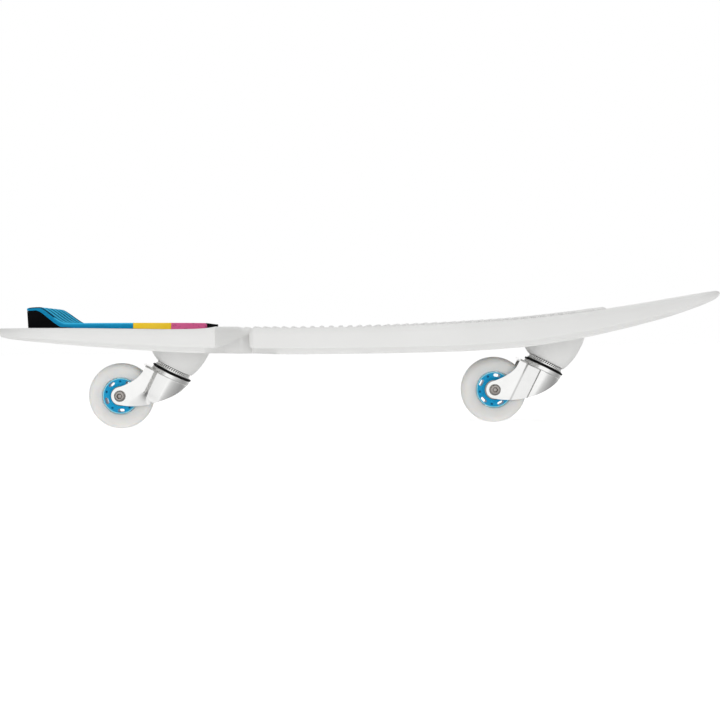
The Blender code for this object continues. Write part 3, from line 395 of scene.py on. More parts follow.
# Places worked out from the sizes above
TAIL_RAIL_END = TAIL_TIP + TAIL_RAIL_LENGTH
NOSE_RAIL_START = TAIL_RAIL_END + WAIST_LENGTH
RIB_ROWS = (
    (TAIL_TIP + TAIL_RIBS_INSET, TAIL_RAIL_END - TAIL_RIBS_END_INSET),
    (NOSE_RAIL_START + NOSE_RIBS_START, NOSE_TIP - NOSE_RIBS_INSET),
)
CROWN_UNDERSIDE = CROWN_TOP - SHEET


# Shape helpers: angles are in degrees, and outlines are lists of (x, y) points

def smooth_curve(table, x):
    """Height of a smooth curve that never overshoots the points of the table."""
    if x <= table[0][0]:
        return table[0][1]
    if x >= table[-1][0]:
        return table[-1][1]
    rises = [(b[1] - a[1]) / (b[0] - a[0]) for a, b in zip(table, table[1:])]
    slopes = [rises[0]]
    for before, after in zip(rises, rises[1:]):
        slopes.append(2 * before * after / (before + after) if before * after > 0 else 0.0)
    slopes.append(rises[-1])
    index = max(i for i in range(len(table) - 1) if table[i][0] <= x)
    (x0, y0), (x1, y1) = table[index], table[index + 1]
    span = x1 - x0
    t = (x - x0) / span
    from_start = (1 + 2 * t) * (1 - t) ** 2 * y0 + t * (1 - t) ** 2 * span * slopes[index]
    from_end = t * t * (3 - 2 * t) * y1 - t * t * (1 - t) * span * slopes[index + 1]
    return from_start + from_end


def straight_curve(points, x):
    """Height at x of the straight pieces between points listed by rising x."""
    if x <= points[0][0]:
        return points[0][1]
    for (x0, y0), (x1, y1) in zip(points, points[1:]):
        if x <= x1:
            return mix(y0, y1, (x - x0) / max(x1 - x0, 1e-9))
    return points[-1][1]


def round_end(distance, reach, power=2.0):
    if distance >= reach:
        return 1.0
    return max(TIP_FLOOR, (1 - (1 - distance / reach) ** power) ** (1 / power))


def ease(t):
    t = min(max(t, 0.0), 1.0)
    return t * t * (3 - 2 * t)


def mix(a, b, t):
    return a + (b - a) * t


def stations(low, high, count):
    return [mix(low, high, i / count) for i in range(count + 1)]


def arc(centre, radius, start, end, steps):
    points = []
    for angle in stations(math.radians(start), math.radians(end), steps):
        points.append((centre[0] + radius * math.cos(angle), centre[1] + radius * math.sin(angle)))
    return points


def circle(radius, steps, centre=(0.0, 0.0)):
    return arc(centre, radius, 0, 360, steps)[:-1]


def bezier(start, leave, arrive, end, steps):
    """Points after the start of a cubic curve, whose handles are given from its two ends."""
    knots = [start, *((x + dx, y + dy) for (x, y), (dx, dy) in ((start, leave), (end, arrive))), end]
    points = []
    for t in stations(0.0, 1.0, steps)[1:]:
        weights = ((1 - t) ** 3, 3 * t * (1 - t) ** 2, 3 * t * t * (1 - t), t ** 3)
        points.append(tuple(sum(w * knot[i] for w, knot in zip(weights, knots)) for i in (0, 1)))
    return points


def lifted(outline, z):
    return [(x, y, z) for x, y in outline]


def moved(ring, matrix):
    return [matrix @ Vector(point) for point in ring]


def mesh_object(name, bm):
    bmesh.ops.recalc_face_normals(bm, faces=bm.faces)
    mesh = bpy.data.meshes.new(name)
    bm.to_mesh(mesh)
    bm.free()
    obj = bpy.data.objects.new(name, mesh)
    bpy.context.scene.collection.objects.link(obj)
    return obj


def add_loft(bm, rings, closed_row=False):
    """Adds a body through rings of as many points each, capped at both ends or closed on itself."""
    rows = [[bm.verts.new(point) for point in ring] for ring in rings]
    count = len(rows[0])
    pairs = list(zip(rows, rows[1:]))
    if closed_row:
        pairs.append((rows[-1], rows[0]))
    else:
        bm.faces.new(rows[0])
        bm.faces.new(rows[-1])
    for row, after in pairs:
        for i in range(count):
            j = (i + 1) % count
            bm.faces.new((row[i], row[j], after[j], after[i]))


def loft(name, rings, closed_row=False):
    bm = bmesh.new()
    add_loft(bm, rings, closed_row)
    return mesh_object(name, bm)


def prism(name, outline, low, high, standing=False):
    """A flat outline of (x, y) points run from low to high in Z, or of (x, z) points run across Y."""
    rings = [lifted(outline, level) for level in (low, high)]
    if standing:
        rings = [[(x, y, z) for x, z, y in ring] for ring in rings]
    return loft(name, rings)


def cutter(outline, standing=False):
    return prism("cutter", outline, -CUTTER_REACH, CUTTER_REACH, standing)


def turned(name, profile, steps, ripple=None):
    """A closed profile of (radius, height) points turned about Z."""
    rings = []
    for turn in stations(0.0, 2 * math.pi, steps)[:-1]:
        ring = []
        for radius, height in profile:
            reach = radius - (ripple(turn, radius, height) if ripple else 0.0)
            ring.append((reach * math.cos(turn), reach * math.sin(turn), height))
        rings.append(ring)
    return loft(name, rings, closed_row=True)


def rounded_ring(bore, radius, low, high, corner):
    """Profile of a ring whose outer corners are round."""
    outside = arc((radius - corner, high - corner), corner, 90, 0, 5)
    outside += arc((radius - corner, low + corner), corner, 0, -90, 5)
    return outside + [(bore, low), (bore, high)]


def settle(obj):
    """Applies the modifiers, so that the mesh is final."""
    graph = bpy.context.evaluated_depsgraph_get()
    mesh = bpy.data.meshes.new_from_object(obj.evaluated_get(graph))
    obj.modifiers.clear()
    obj.data = mesh


def combine(obj, other, operation):
    modifier = obj.modifiers.new(other.name, "BOOLEAN")
    modifier.object = other
    modifier.operation = operation
    modifier.solver = "EXACT"
    settle(obj)
    bpy.data.objects.remove(other, do_unlink=True)


def round_edges(obj, width, angle):
    modifier = obj.modifiers.new("Round", "BEVEL")
    modifier.width = width
    modifier.segments = 2
    modifier.limit_method = "ANGLE"
    modifier.angle_limit = math.radians(angle)
    settle(obj)


def placed(obj, matrix):
    obj.data.transform(matrix)
    return obj


def finished(obj, material, body, *nodes, slot=None, angle=35):
    """Gives a piece its material, its shading, its body and the CAD nodes it stands for."""
    obj.data.materials.clear()
    obj.data.materials.append(MATERIALS[material])
    obj.data.shade_smooth()
    obj.data.set_sharp_from_angle(angle=math.radians(angle))
    if body:
        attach(obj, body)
    if nodes:
        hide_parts(*nodes)
    return obj


# Materials

class NodeTree:
    """A node tree, with short helpers that make its nodes and feed them."""

    def __init__(self, tree, place="Object"):
        self.nodes, self.links = tree.nodes, tree.links
        self.place = self.node("TexCoord").outputs[place]

    def feed(self, node, inputs):
        """Gives a node's inputs values of their own, or other nodes' outputs."""
        for name, value in inputs.items():
            if isinstance(value, bpy.types.NodeSocket):
                self.links.new(value, node.inputs[name])
            else:
                node.inputs[name].default_value = value

    def node(self, kind, **inputs):
        node = self.nodes.new("ShaderNode" + kind)
        self.feed(node, inputs)
        return node

    def axis(self, name, vector=None):
        return self.node("SeparateXYZ", Vector=vector or self.place).outputs[name]

    def span(self, value, low, high, to_low=0.0, to_high=1.0):
        """The value mapped from low..high to another range, and held at its ends."""
        limits = {"From Min": low, "From Max": high, "To Min": to_low, "To Max": to_high}
        return self.node("MapRange", Value=value, **limits).outputs["Result"]

    def math(self, operation, first, second=0.0):
        node = self.node("Math")
        node.operation = operation
        self.feed(node, {0: first, 1: second})
        return node.outputs["Value"]


class Finish(NodeTree):
    """A Principled material in the object's own metres, with noise in cells to a metre."""

    def __init__(self, name, colour, metallic=0.0):
        self.material = bpy.data.materials.new(name)
        self.material.use_nodes = True
        super().__init__(self.material.node_tree)
        self.shader = self.nodes["Principled BSDF"]
        self.colour = (*colour, 1.0)
        self.set("Base Color", self.colour)
        self.set("Metallic", metallic)

    def set(self, name, value):
        self.feed(self.shader, {name: value})

    def noise(self, cells, detail=2.0, stretch=(1.0, 1.0, 1.0)):
        """Noise from 0 to 1, drawn out along an axis by a stretch under 1."""
        place = self.node("Mapping", Vector=self.place, Scale=stretch).outputs["Vector"]
        return self.node("TexNoise", Vector=place, Scale=cells, Detail=detail).outputs["Fac"]

    def tint(self, share, colour):
        """Mixes another colour into the base colour by a share."""
        node = self.node("Mix", Factor=share)
        node.data_type = "RGBA"
        self.feed(node, {MIX_COLOUR_A: self.colour, MIX_COLOUR_B: (*colour, 1.0)})
        self.colour = node.outputs[MIX_COLOUR_RESULT]
        self.set("Base Color", self.colour)

    def patches(self, colour, start, full, most, **noise):
        """Mixes a colour in where the noise rises from start to full, up to the most."""
        self.tint(self.span(self.noise(**noise), start, full, 0.0, most), colour)

    def rough(self, low, high, **noise):
        self.set("Roughness", self.span(self.noise(**noise), 0.0, 1.0, low, high))

    def bump(self, height, depth, strength=1.0):
        node = self.node("Bump", Height=height, Distance=depth, Strength=strength)
        for link in self.shader.inputs["Normal"].links:
            self.feed(node, {"Normal": link.from_socket})
        self.set("Normal", node.outputs["Normal"])

    def grain(self, depth, strength=1.0, **noise):
        self.bump(self.noise(**noise), depth, strength)


def white_plastic():
    finish = Finish("white_plastic", WHITE_PLASTIC)
    finish.patches(WORN_PLASTIC, start=0.35, full=0.75, most=0.35, cells=14, detail=3)
    finish.rough(low=0.34, high=0.46, cells=60, detail=3)
    finish.grain(depth=0.00006, strength=0.6, cells=1500)
    finish.grain(depth=0.00010, strength=0.4, cells=220)
    return finish.material


def foam(name, colour, light, depth=1.0):
    """Closed-cell foam: fine cells, small pores and a slightly uneven colour."""
    finish = Finish(name, colour)
    finish.set("Specular IOR Level", FOAM_GLOSS)
    finish.patches(light, start=0.40, full=0.75, most=0.45, cells=900, detail=3)
    finish.patches(light, start=0.45, full=0.70, most=0.30, cells=45)
    finish.rough(low=0.78, high=0.95, cells=500)
    pores = finish.node("TexVoronoi", Vector=finish.place, Scale=1300).outputs["Distance"]
    finish.bump(pores, depth=0.00016 * depth, strength=0.8)
    finish.grain(depth=0.00022 * depth, strength=0.6, cells=420, detail=3)
    return finish


def foam_blue():
    """Blue foam with painted light on its upward faces, painted shade in the grooves between the ridges,
    and streaks along its sides.
    """
    finish = foam("foam_blue", FOAM_BLUE, FOAM_PALE_BLUE)
    streaks = (0.10, 1.0, 1.0)
    finish.patches(FOAM_STREAK_BLUE, start=0.50, full=0.72, most=0.45, cells=420, stretch=streaks)
    # Painted light: faces that point up are tinted a lighter blue, as if lit from above
    upward = finish.axis("Z", finish.node("NewGeometry").outputs["Normal"])
    painted_upward_faces = finish.span(upward, *FOAM_PAINTED_LIGHT_SLOPE)
    finish.tint(painted_upward_faces, FOAM_PAINTED_LIGHT_BLUE)
    # Painted shade: inside the grooves the upward faces are tinted dark navy, as if in shadow
    place = finish.math("FLOORED_MODULO", finish.axis("Y"), GROOVE_PITCH)
    from_middle = finish.math("ABSOLUTE", finish.math("SUBTRACT", place, GROOVE_PITCH / 2))
    painted_shade_in_grooves = finish.span(from_middle, GROOVE_WIDTH / 2 + GROOVE_WALL / 2, GROOVE_WIDTH / 2)
    finish.tint(finish.math("MULTIPLY", painted_shade_in_grooves, painted_upward_faces), FOAM_PAINTED_SHADE_BLUE)
    return finish.material


def foam_pink():
    """Pink foam with black streaks along it and a ragged end where the black section starts."""
    finish = foam("foam_pink", FOAM_PINK, FOAM_PALE_PINK)
    streaks = (0.12, 1.0, 1.0)
    finish.patches(FOAM_BLACK, start=0.60, full=0.72, most=0.75, cells=260, detail=3, stretch=streaks)
    ragged = finish.span(finish.noise(cells=300, detail=3), 0.0, 1.0, -RAGGED_EDGE, RAGGED_EDGE)
    start, full = (TAIL_TIP + PAD_PINK_END - inset for inset in BLACK_EDGE)
    finish.tint(finish.span(finish.math("ADD", finish.axis("X"), ragged), start, full), FOAM_BLACK)
    return finish.material


def metal(name, colour, roughness, scratch, blotch):
    finish = Finish(name, colour, metallic=1.0)
    darker = [BLOTCH_SHADE * value for value in colour]
    finish.patches(darker, start=0.40, full=0.80, most=blotch, cells=70, detail=3)
    finish.rough(low=roughness - 0.05, high=roughness + 0.09, cells=400, stretch=(0.2, 1.0, 1.0))
    finish.grain(depth=0.00003, strength=scratch, cells=900, stretch=(0.15, 1.0, 1.0))
    return finish.material


def rubber():
    finish = Finish("rubber", RUBBER_BLACK)
    finish.set("Specular IOR Level", RUBBER_GLOSS)
    finish.patches(RUBBER_GREY, start=0.45, full=0.80, most=0.60, cells=120, detail=3)
    finish.rough(low=0.48, high=0.68, cells=300)
    finish.grain(depth=0.00005, cells=1400)
    return finish.material


def core_plastic(name, colour, light):
    finish = Finish(name, colour)
    finish.set("Specular IOR Level", CORE_GLOSS)
    finish.patches(light, start=0.40, full=0.75, most=0.50, cells=90)
    finish.rough(low=0.24, high=0.38, cells=180)
    finish.grain(depth=0.00004, cells=1200)
    return finish.material


def urethane():
    finish = Finish("urethane", URETHANE)
    finish.set("Subsurface Weight", 0.80)
    finish.set("Subsurface Radius", (0.014, 0.012, 0.010))
    finish.set("Subsurface Scale", 1.0)
    finish.patches(WORN_URETHANE, start=0.45, full=0.80, most=0.50, cells=60, detail=3)
    finish.rough(low=0.34, high=0.52, cells=140, detail=3)
    finish.grain(depth=0.00005, cells=700, detail=3)
    return finish.material


MATERIALS = {
    "white_plastic": white_plastic(),
    "foam_black": foam("foam_black", FOAM_BLACK, FOAM_GREY, depth=1.4).material,
    "foam_blue": foam_blue(),
    "foam_yellow": foam("foam_yellow", FOAM_YELLOW, FOAM_PALE_YELLOW).material,
    "foam_pink": foam_pink(),
    "steel": metal("steel", STEEL, roughness=0.34, scratch=0.6, blotch=0.5),
    "dark_steel": metal("dark_steel", DARK_STEEL, roughness=0.26, scratch=0.5, blotch=0.6),
    "chrome": metal("chrome", CHROME, roughness=0.13, scratch=0.3, blotch=0.2),
    "rubber": rubber(),
    "core_blue": core_plastic("core_blue", CORE_BLUE, CORE_LIGHT_BLUE),
    "core_pale_blue": core_plastic("core_pale_blue", CORE_PALE_BLUE, CORE_LIGHTEST_BLUE),
    "urethane": urethane(),
}


# Deck

def deck_half_width(x):
    if x <= TAIL_RAIL_END:
        inset = x - TAIL_TIP
        return smooth_curve(TAIL_HALF_WIDTHS, inset) * round_end(inset, TAIL_ROUND, TAIL_ROUND_POWER)
    if x < NOSE_RAIL_START:
        share = (x - TAIL_RAIL_END) / WAIST_LENGTH
        return mix(TAIL_HALF_WIDTHS[-1][1], WAIST_HALF_WIDTH, math.sin(share * math.pi / 2))
    inset = NOSE_TIP - x
    full = smooth_curve(NOSE_HALF_WIDTHS, inset) * round_end(inset, NOSE_ROUND)
    past_step = x - NOSE_RAIL_START - RAIL_STEP
    if past_step < 0:
        return mix(full - RAIL_CORNER_INSET, WAIST_HALF_WIDTH, -past_step / RAIL_STEP)
    return full - RAIL_CORNER_INSET * (1 - math.sqrt(ease(past_step / RAIL_CORNER)))


def deck_faces(x):
    """Top, underside and rail bottom heights of the deck."""
    tail_top = smooth_curve(TAIL_TOP, x - TAIL_TIP)
    rocker = smooth_curve(NOSE_TOP, NOSE_TIP - x)
    top = mix(tail_top, rocker, ease((x - NOSE_RAIL_START + WAIST_STEP_LEAD) / WAIST_STEP))
    if x <= NOSE_RAIL_START:
        low = smooth_curve(TAIL_UNDERSIDE, x - TAIL_TIP)
    else:
        low = smooth_curve(NOSE_UNDERSIDE, NOSE_TIP - x)
    share = round_end((NOSE_TIP - TAIL_TIP) / 2 - abs(x), TIP_ROUND)
    middle = (top + low) / 2
    top = mix(middle, top, share)
    low = mix(middle, low, share)
    rail_low = low + min(BELLY_DROP, BELLY_DROP_SHARE * (top - low))
    if TAIL_RAIL_END < x <= NOSE_RAIL_START:
        rail_low = mix(rail_low, top - FLANGE_THICKNESS, (x - TAIL_RAIL_END) / WAIST_LENGTH)
    return top, low, rail_low


def top_slope(x):
    return math.atan2(deck_faces(x + SLOPE_REACH)[0] - deck_faces(x - SLOPE_REACH)[0], 2 * SLOPE_REACH)


def belly_half_width(x, half_width):
    full = half_width - min(BELLY_INSET, BELLY_INSET_SHARE * half_width)
    if x < (TAIL_RAIL_END + NOSE_RAIL_START) / 2:
        run = (x - TAIL_RAIL_END + BELLY_RUN_IN) / (BELLY_RUN_IN + BELLY_RUN_OUT)
        return mix(full, SPINE_HALF_WIDTH, ease(run))
    return mix(SPINE_HALF_WIDTH, full, ease((x - NOSE_RAIL_START - RAIL_STEP) / BELLY_SPREAD))


def bay_count(start, end):
    return round((end - start) / RIB_PITCH)


def belly_facet(x):
    """Height of the facet along the belly's edge, which swells between one rib and the next."""
    for start, end in RIB_ROWS:
        if start <= x <= end:
            share = (x - start) / (end - start) * bay_count(start, end) % 1.0
            return mix(FACET_AT_RIB, FACET_BETWEEN_RIBS, math.sin(share * math.pi) ** FACET_FULLNESS)
    return FACET_AT_RIB


def deck_ring(x):
    half_width = deck_half_width(x)
    top, low, rail_low = deck_faces(x)
    rail = top - rail_low
    upper = min(RAIL_TOP_RADIUS, RAIL_TOP_SHARES[0] * rail, RAIL_TOP_SHARES[1] * half_width)
    lower = min(RAIL_LOW_RADIUS, RAIL_LOW_SHARES[0] * rail, RAIL_LOW_SHARES[1] * half_width)
    belly = min(belly_half_width(x, half_width), half_width - lower * BELLY_CLEARANCE)
    facet = min(belly_facet(x), FACET_SHARE * (rail_low - low))
    to_end = min(abs(x - NOSE_RAIL_START - RAIL_STEP) / RAIL_END_ROUND, 1.0)
    cut = RAIL_END_ROUND * (1 - math.sqrt(1 - (1 - to_end) ** 2))
    side = [(0.5 * (half_width - upper), top)]
    side += arc((half_width - upper, top - cut - upper), upper, 90, 0, 9)
    side += arc((half_width - lower, rail_low + cut / 2 + lower), lower, 0, -90, 4)
    foot = belly - FACET_LEAN * (rail_low - low - facet)
    side += [(belly, rail_low), (foot, low + facet), (foot, low)]
    right = [(x, y, z) for y, z in side]
    left = [(x, -y, z) for y, z in reversed(side)]
    return [(x, 0.0, top)] + right + [(x, 0.0, low)] + left


def deck_stations():
    tip = [TIP_REACH * (1 - math.cos(math.radians(angle))) for angle in range(0, 90, 6)]
    places = [TAIL_TIP + step for step in tip] + [TAIL_TIP + TIP_REACH]
    start = TAIL_TIP + TIP_REACH
    for end, count in (
            (TAIL_RAIL_END, 72), (NOSE_RAIL_START, 26), (NOSE_RAIL_START + RAIL_STEP, 3),
            (NOSE_RAIL_START + RAIL_CORNER, 10), (NOSE_TIP - TIP_REACH, 156)):
        places += stations(start, end, count)[1:]
        start = end
    return places + [NOSE_TIP - step for step in reversed(tip)]


def pocket_ring(x, inner_share, outer_share):
    """Section of one pocket between two long ribs, or between a long rib and the wall."""
    top, low, _ = deck_faces(x)
    half = belly_half_width(x, deck_half_width(x)) - WALL - FACET_LEAN * BELLY_DROP
    near, far = (
        share * half + (inward * RIB / 2 if abs(share) < 1 else 0.0)
        for share, inward in ((inner_share, 1), (outer_share, -1)))
    return [(x, near, top - SKIN), (x, near, low - WALL), (x, far, low - WALL), (x, far, top - SKIN)]


def build_pockets():
    bm = bmesh.new()
    shares = (-1.0, -LONG_RIB_SHARE, LONG_RIB_SHARE, 1.0)
    for start, end in RIB_ROWS:
        edges = stations(start, end, bay_count(start, end))
        for index, (low_x, high_x) in enumerate(zip(edges, edges[1:])):
            first = low_x + (RIB / 2 if index else 0.0)
            last = high_x - (RIB / 2 if high_x != edges[-1] else 0.0)
            for inner, outer in zip(shares, shares[1:]):
                add_loft(bm, [pocket_ring(x, inner, outer) for x in stations(first, last, 3)])
    return mesh_object("pockets", bm)


def build_deck():
    deck = loft("deck_shell", [deck_ring(x) for x in deck_stations()])
    combine(deck, build_pockets(), "DIFFERENCE")
    finished(deck, "white_plastic", None, "tail_deck", "front_deck")
    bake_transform(deck)


def bar_height(x):
    """Height of a bar on the deck, which grows a little towards the nose."""
    along = (x - NOSE_RAIL_START) / (NOSE_TIP - LONG_BLOCKS[0][0] - NOSE_RAIL_START)
    return mix(BAR_HEIGHT, NOSE_BAR_HEIGHT, ease(along))


def bar_rings(width, height, near, far):
    """A bar with a round top, lying across the deck from near to far, with eased ends."""
    insets = (0.0, BAR_END_STEP * BAR_END_ROUND, BAR_END_ROUND)
    places = [near + inset for inset in insets] + [far - inset for inset in reversed(insets)]
    corner = min(BAR_CORNER_SHARES[0] * width, BAR_CORNER_SHARES[1] * height)
    rings = []
    for y in places:
        distance = min(y - near, far - y) / BAR_END_ROUND
        rise = height * math.sqrt(max(BAR_END_SHARE, 1 - (1 - min(distance, 1.0)) ** 2))
        section = [(-width / 2, -BAR_ROOT)]
        for side, start in ((-1, 180), (1, 90)):
            for c, s in arc((0.0, 0.0), 1.0, start, start - 90, 5):
                section.append((side * (width / 2 - corner) + corner * c, rise * s))
        section.append((width / 2, -BAR_ROOT))
        rings.append([(x, y, z) for x, z in section])
    return rings


def build_grip_bars():
    bm = bmesh.new()
    places = [(NOSE_RAIL_START + WAIST_BAR_LEAD, BAR_WIDTH)]
    x = NOSE_RAIL_START + BAR_LEAD
    while x + BAR_PITCH / 2 < NOSE_TIP - LONG_BLOCKS[0][0]:
        places.append((x, BAR_WIDTH))
        x += BAR_PITCH
    places += [(NOSE_TIP - inset + length / 2, length) for inset, length in LONG_BLOCKS]
    for x, width in places:
        outer = deck_half_width(x) - BAR_MARGIN
        tilt = Matrix.Translation((x, 0.0, deck_faces(x)[0])) @ Matrix.Rotation(-top_slope(x), 4, "Y")
        for near, far in ((-outer, -STRINGER_WIDTH / 2), (STRINGER_WIDTH / 2, outer)):
            add_loft(bm, [moved(ring, tilt) for ring in bar_rings(width, bar_height(x), near, far)])
    finished(mesh_object("grip_bars", bm), "white_plastic", "front_deck")


def fairing_ring(centre, share):
    """One ring of the fairing, from its round foot at 0 to its widest ellipse at 1."""
    across = mix(share, math.sin(share * math.pi / 2), FAIRING_BULGE)
    up = mix(share, 1 - math.cos(share * math.pi / 2), FAIRING_BULGE)
    points = []
    for c, s in circle(1.0, ROUND_STEPS):
        out = FAIRING_FOOT_RADIUS * c
        foot_x = out * math.cos(RAKE) + FAIRING_FOOT * math.sin(RAKE)
        foot_z = FAIRING_FOOT * math.cos(RAKE) - out * math.sin(RAKE)
        points.append((
            centre.x + mix(foot_x, FAIRING_TOP_SHIFT + FAIRING_HALF_LENGTH * c, across),
            mix(FAIRING_FOOT_RADIUS, FAIRING_HALF_WIDTH, across) * s,
            centre.z + mix(foot_z, FAIRING_TOP_HEIGHT, up)))
    return points


def build_fairing(prefix, swivel, body):
    """The boss that carries a caster, from the insert's hole out round the foot and up into the deck."""
    centre = swivel.translation
    hole = circle(INSERT_HOLE, ROUND_STEPS)
    heights = (FAIRING_FOOT + INSERT_HOLE_DEPTH, FAIRING_FOOT)
    rings = [moved(lifted(hole, height), swivel) for height in heights]
    rings += [fairing_ring(centre, share) for share in stations(0.0, 1.0, 20)]
    rings.append([(x, y, deck_faces(x)[0] - SKIN / 2) for x, y, _ in rings[-1]])
    finished(loft(prefix + "_fairing", rings), "white_plastic", body)


# Tail pad

PAD_LEAN = math.atan(PAD_LINE_SLOPE)
PAD_LINE = (
    Matrix.Translation((TAIL_RAIL_END, 0.0, PAD_LINE_HEIGHT)) @ Matrix.Rotation(PAD_LEAN, 4, "Y")
    @ Matrix.Translation((-TAIL_RAIL_LENGTH, 0.0, 0.0)))


def pad_foot(inset):
    """Height of the pad's underside on the deck's top."""
    line = PAD_LINE_HEIGHT + (TAIL_RAIL_LENGTH - inset) * PAD_LINE_SLOPE
    from_toe = abs(inset - PAD_BACK - KICK_TOE) / TOE_GAP_REACH
    return deck_faces(TAIL_TIP + inset)[0] - line + PAD_GAP + TOE_GAP * ease(1 - from_toe)


def kick_underside():
    """Hollow curve that the black core and the blue skin share, from the back to the toe."""
    toe = (PAD_BACK + KICK_TOE, 0.0)
    crest = (PAD_BACK + KICK_CREST, KICK_HEIGHT - KICK_SKIN)
    back = (PAD_BACK, KICK_HEIGHT - KICK_BACK_DROP - KICK_BACK_SKIN)
    return [back, crest] + bezier(crest, KICK_CREST_HANDLE, KICK_TOE_HANDLE, toe, 24)


def kick_topside():
    """Outer curve of the blue skin, from its back over the crest and down to the pad."""
    back = (PAD_BACK, KICK_HEIGHT - KICK_BACK_DROP)
    crest = (PAD_BACK + KICK_SKIN_CREST, KICK_HEIGHT)
    toe = (PAD_BACK + KICK_SKIN_TOE, PAD_THICKNESS)
    rise = bezier(back, (KICK_BACK_ROUND, KICK_BACK_DROP), (-KICK_BACK_ROUND, 0.0), crest, 10)
    return [back] + rise + bezier(crest, KICK_CREST_HANDLE, (KICK_TOE_HANDLE[0], 0.0), toe, 28)


def flat_topside(inset):
    """Top of the pad in front of the kick, which thins towards the tip."""
    return PAD_THICKNESS - TIP_THINNING * ease((inset - PAD_TIP_END) / TIP_THINNING_REACH + 1)


def groove(y):
    """Depth of the grooves that run along the pad, at a place across it."""
    distance = abs(abs(y) % GROOVE_PITCH - GROOVE_PITCH / 2)
    return GROOVE_DEPTH * ease((GROOVE_WIDTH / 2 - distance) / GROOVE_WALL + 0.5)


def pad_ring(inset, bottom, top, grooved, samples):
    half = smooth_curve(PAD_HALF_WIDTHS, inset)
    edge = min(PAD_EDGE, PAD_EDGE_SHARES[0] * half, PAD_EDGE_SHARES[1] * (top - bottom))
    depth = min(1.0, GROOVE_SHARE * (top - bottom) / GROOVE_DEPTH)
    ring = [(half, bottom)] + arc((half - edge, top - edge), edge, 0, 90, 4)
    for y in stations(half - edge, edge - half, samples)[1:-1]:
        ring.append((y, top - (depth * groove(y) if grooved else 0.0)))
    ring += arc((edge - half, top - edge), edge, 90, 180, 4) + [(-half, bottom)]
    lean = KICK_BACK_LEAN * ease(1 - (inset - PAD_BACK) / KICK_BACK_LEAN_REACH)
    return moved([(inset - lean * z / KICK_HEIGHT, y, z) for y, z in ring], PAD_LINE)


def build_pad_piece(name, places, underside, topside, material, node, grooved=True, samples=320):
    rings = [pad_ring(inset, underside(inset), topside(inset), grooved, samples) for inset in places]
    pad = finished(loft(name, rings), material, "tail_deck", node)


def build_pad():
    under, over = kick_underside(), kick_topside()
    toe = PAD_BACK + KICK_TOE

    def skin_underside(inset):
        if inset < toe:
            return max(straight_curve(under, inset), pad_foot(inset))
        return pad_foot(inset)

    def skin_topside(inset):
        return max(straight_curve(over, inset), PAD_THICKNESS)

    def core_topside(inset):
        return max(straight_curve(under, inset) - PAD_GAP, pad_foot(inset) + PAD_GAP)

    core_places = stations(PAD_BACK, toe - KICK_TOE_BLUNT, 26)
    build_pad_piece(
        "kick_wedge", core_places, pad_foot, core_topside, "foam_black", "kick_core",
        grooved=False, samples=24)
    skin_toe = PAD_BACK + KICK_SKIN_TOE
    places = stations(PAD_BACK, skin_toe, 60) + stations(skin_toe, PAD_BLUE_END, 24)[1:]
    build_pad_piece("kick_and_blue_pad", places, skin_underside, skin_topside, "foam_blue", "pad_blue")
    start = PAD_BLUE_END + PAD_GAP
    for name, end, material, node in (
            ("yellow_pad", PAD_YELLOW_END, "foam_yellow", "pad_yellow"),
            ("pink_pad", PAD_PINK_END, "foam_pink", "pad_pink"),
            ("black_tip_pad", PAD_TIP_END, "foam_black", "pad_tip")):
        build_pad_piece(name, stations(start, end, 14), pad_foot, flat_topside, material, node)
        start = end + PAD_GAP


# Casters

def leg_plan(creases, wall, fade=0.0):
    """Plan of the fork: parallel legs, a flare with creases that can fade, and a round front."""
    radius = SKIRT_RADIUS - wall
    start = math.degrees(math.acos(LEG_BEND_FRONT / radius))
    front = arc((0.0, 0.0), radius, start, -start, 48)
    level = LEG_OUTER_Y - wall
    flare = front[0][1] - level - sum(rise for _, rise, _, _ in creases)
    side = [(-TRAIL - CUTTER_REACH, level)]
    for index, (place, rise, width, faded_width) in enumerate(creases):
        level += flare if index == 1 else 0.0
        across = mix(width, faded_width, fade)
        foot, head = (place - across / 2, level), (place + across / 2, level + rise)
        handle = CREASE_EASE * across
        side += [foot] + bezier(foot, (handle, 0.0), (-handle, 0.0), head, 10)
        level += rise
    return side + front + [(x, -y) for x, y in reversed(side)]


def fork_side():
    """Side outline of the fork in the caster's own frame, as (x, z) points."""
    boss = arc((-TRAIL, -DROP), BOSS_RADIUS, 135, 285, 28)
    back_top = (LEG_BACK, CROWN_TOP - LEG_BACK_DROP)
    back = bezier(back_top, LEG_BACK_HANDLE, BOSS_BACK_HANDLE, boss[0], 18)
    front = bezier(boss[-1], BOSS_FRONT_HANDLE, LEG_FRONT_HANDLE, (CROWN_RADIUS, CROWN_TOP), 30)
    above = CROWN_TOP + CUTTER_REACH
    return [(CROWN_RADIUS, above), (LEG_BACK, above), back_top] + back + boss[1:] + front


def lip_side():
    """The plate's rear edge, turned up into a stiffening lip."""
    start, tip = LEG_BACK + LIP_ROOT, LEG_BACK - LIP_REACH
    end = CROWN_TOP + LIP_RISE
    top = bezier((start, CROWN_TOP), *LIP_TOP_HANDLES, (tip, end), 8)
    under_tip = (tip, end - LIP_EDGE / 2)
    low = bezier(under_tip, *LIP_LOW_HANDLES, (start, CROWN_UNDERSIDE), 8)
    return [(start, CROWN_TOP)] + top + [under_tip] + low


def bent_block(name, creases, wall, top, bend):
    """The fork's outside or its hollow: the plan run down from the top, with a round bend there."""
    rings = []
    for angle in stations(0, 90, 7):
        inset = bend * (1 - math.sin(math.radians(angle)))
        level = top - bend * (1 - math.cos(math.radians(angle)))
        rings.append(lifted(leg_plan(creases, wall + inset), level))
    for share in stations(0.0, 1.0, 8):
        rings.append(lifted(leg_plan(creases, wall, ease(share)), mix(*CREASE_FADE, share)))
    rings.append(lifted(leg_plan(creases, wall, 1.0), -CUTTER_REACH))
    return loft(name, rings)


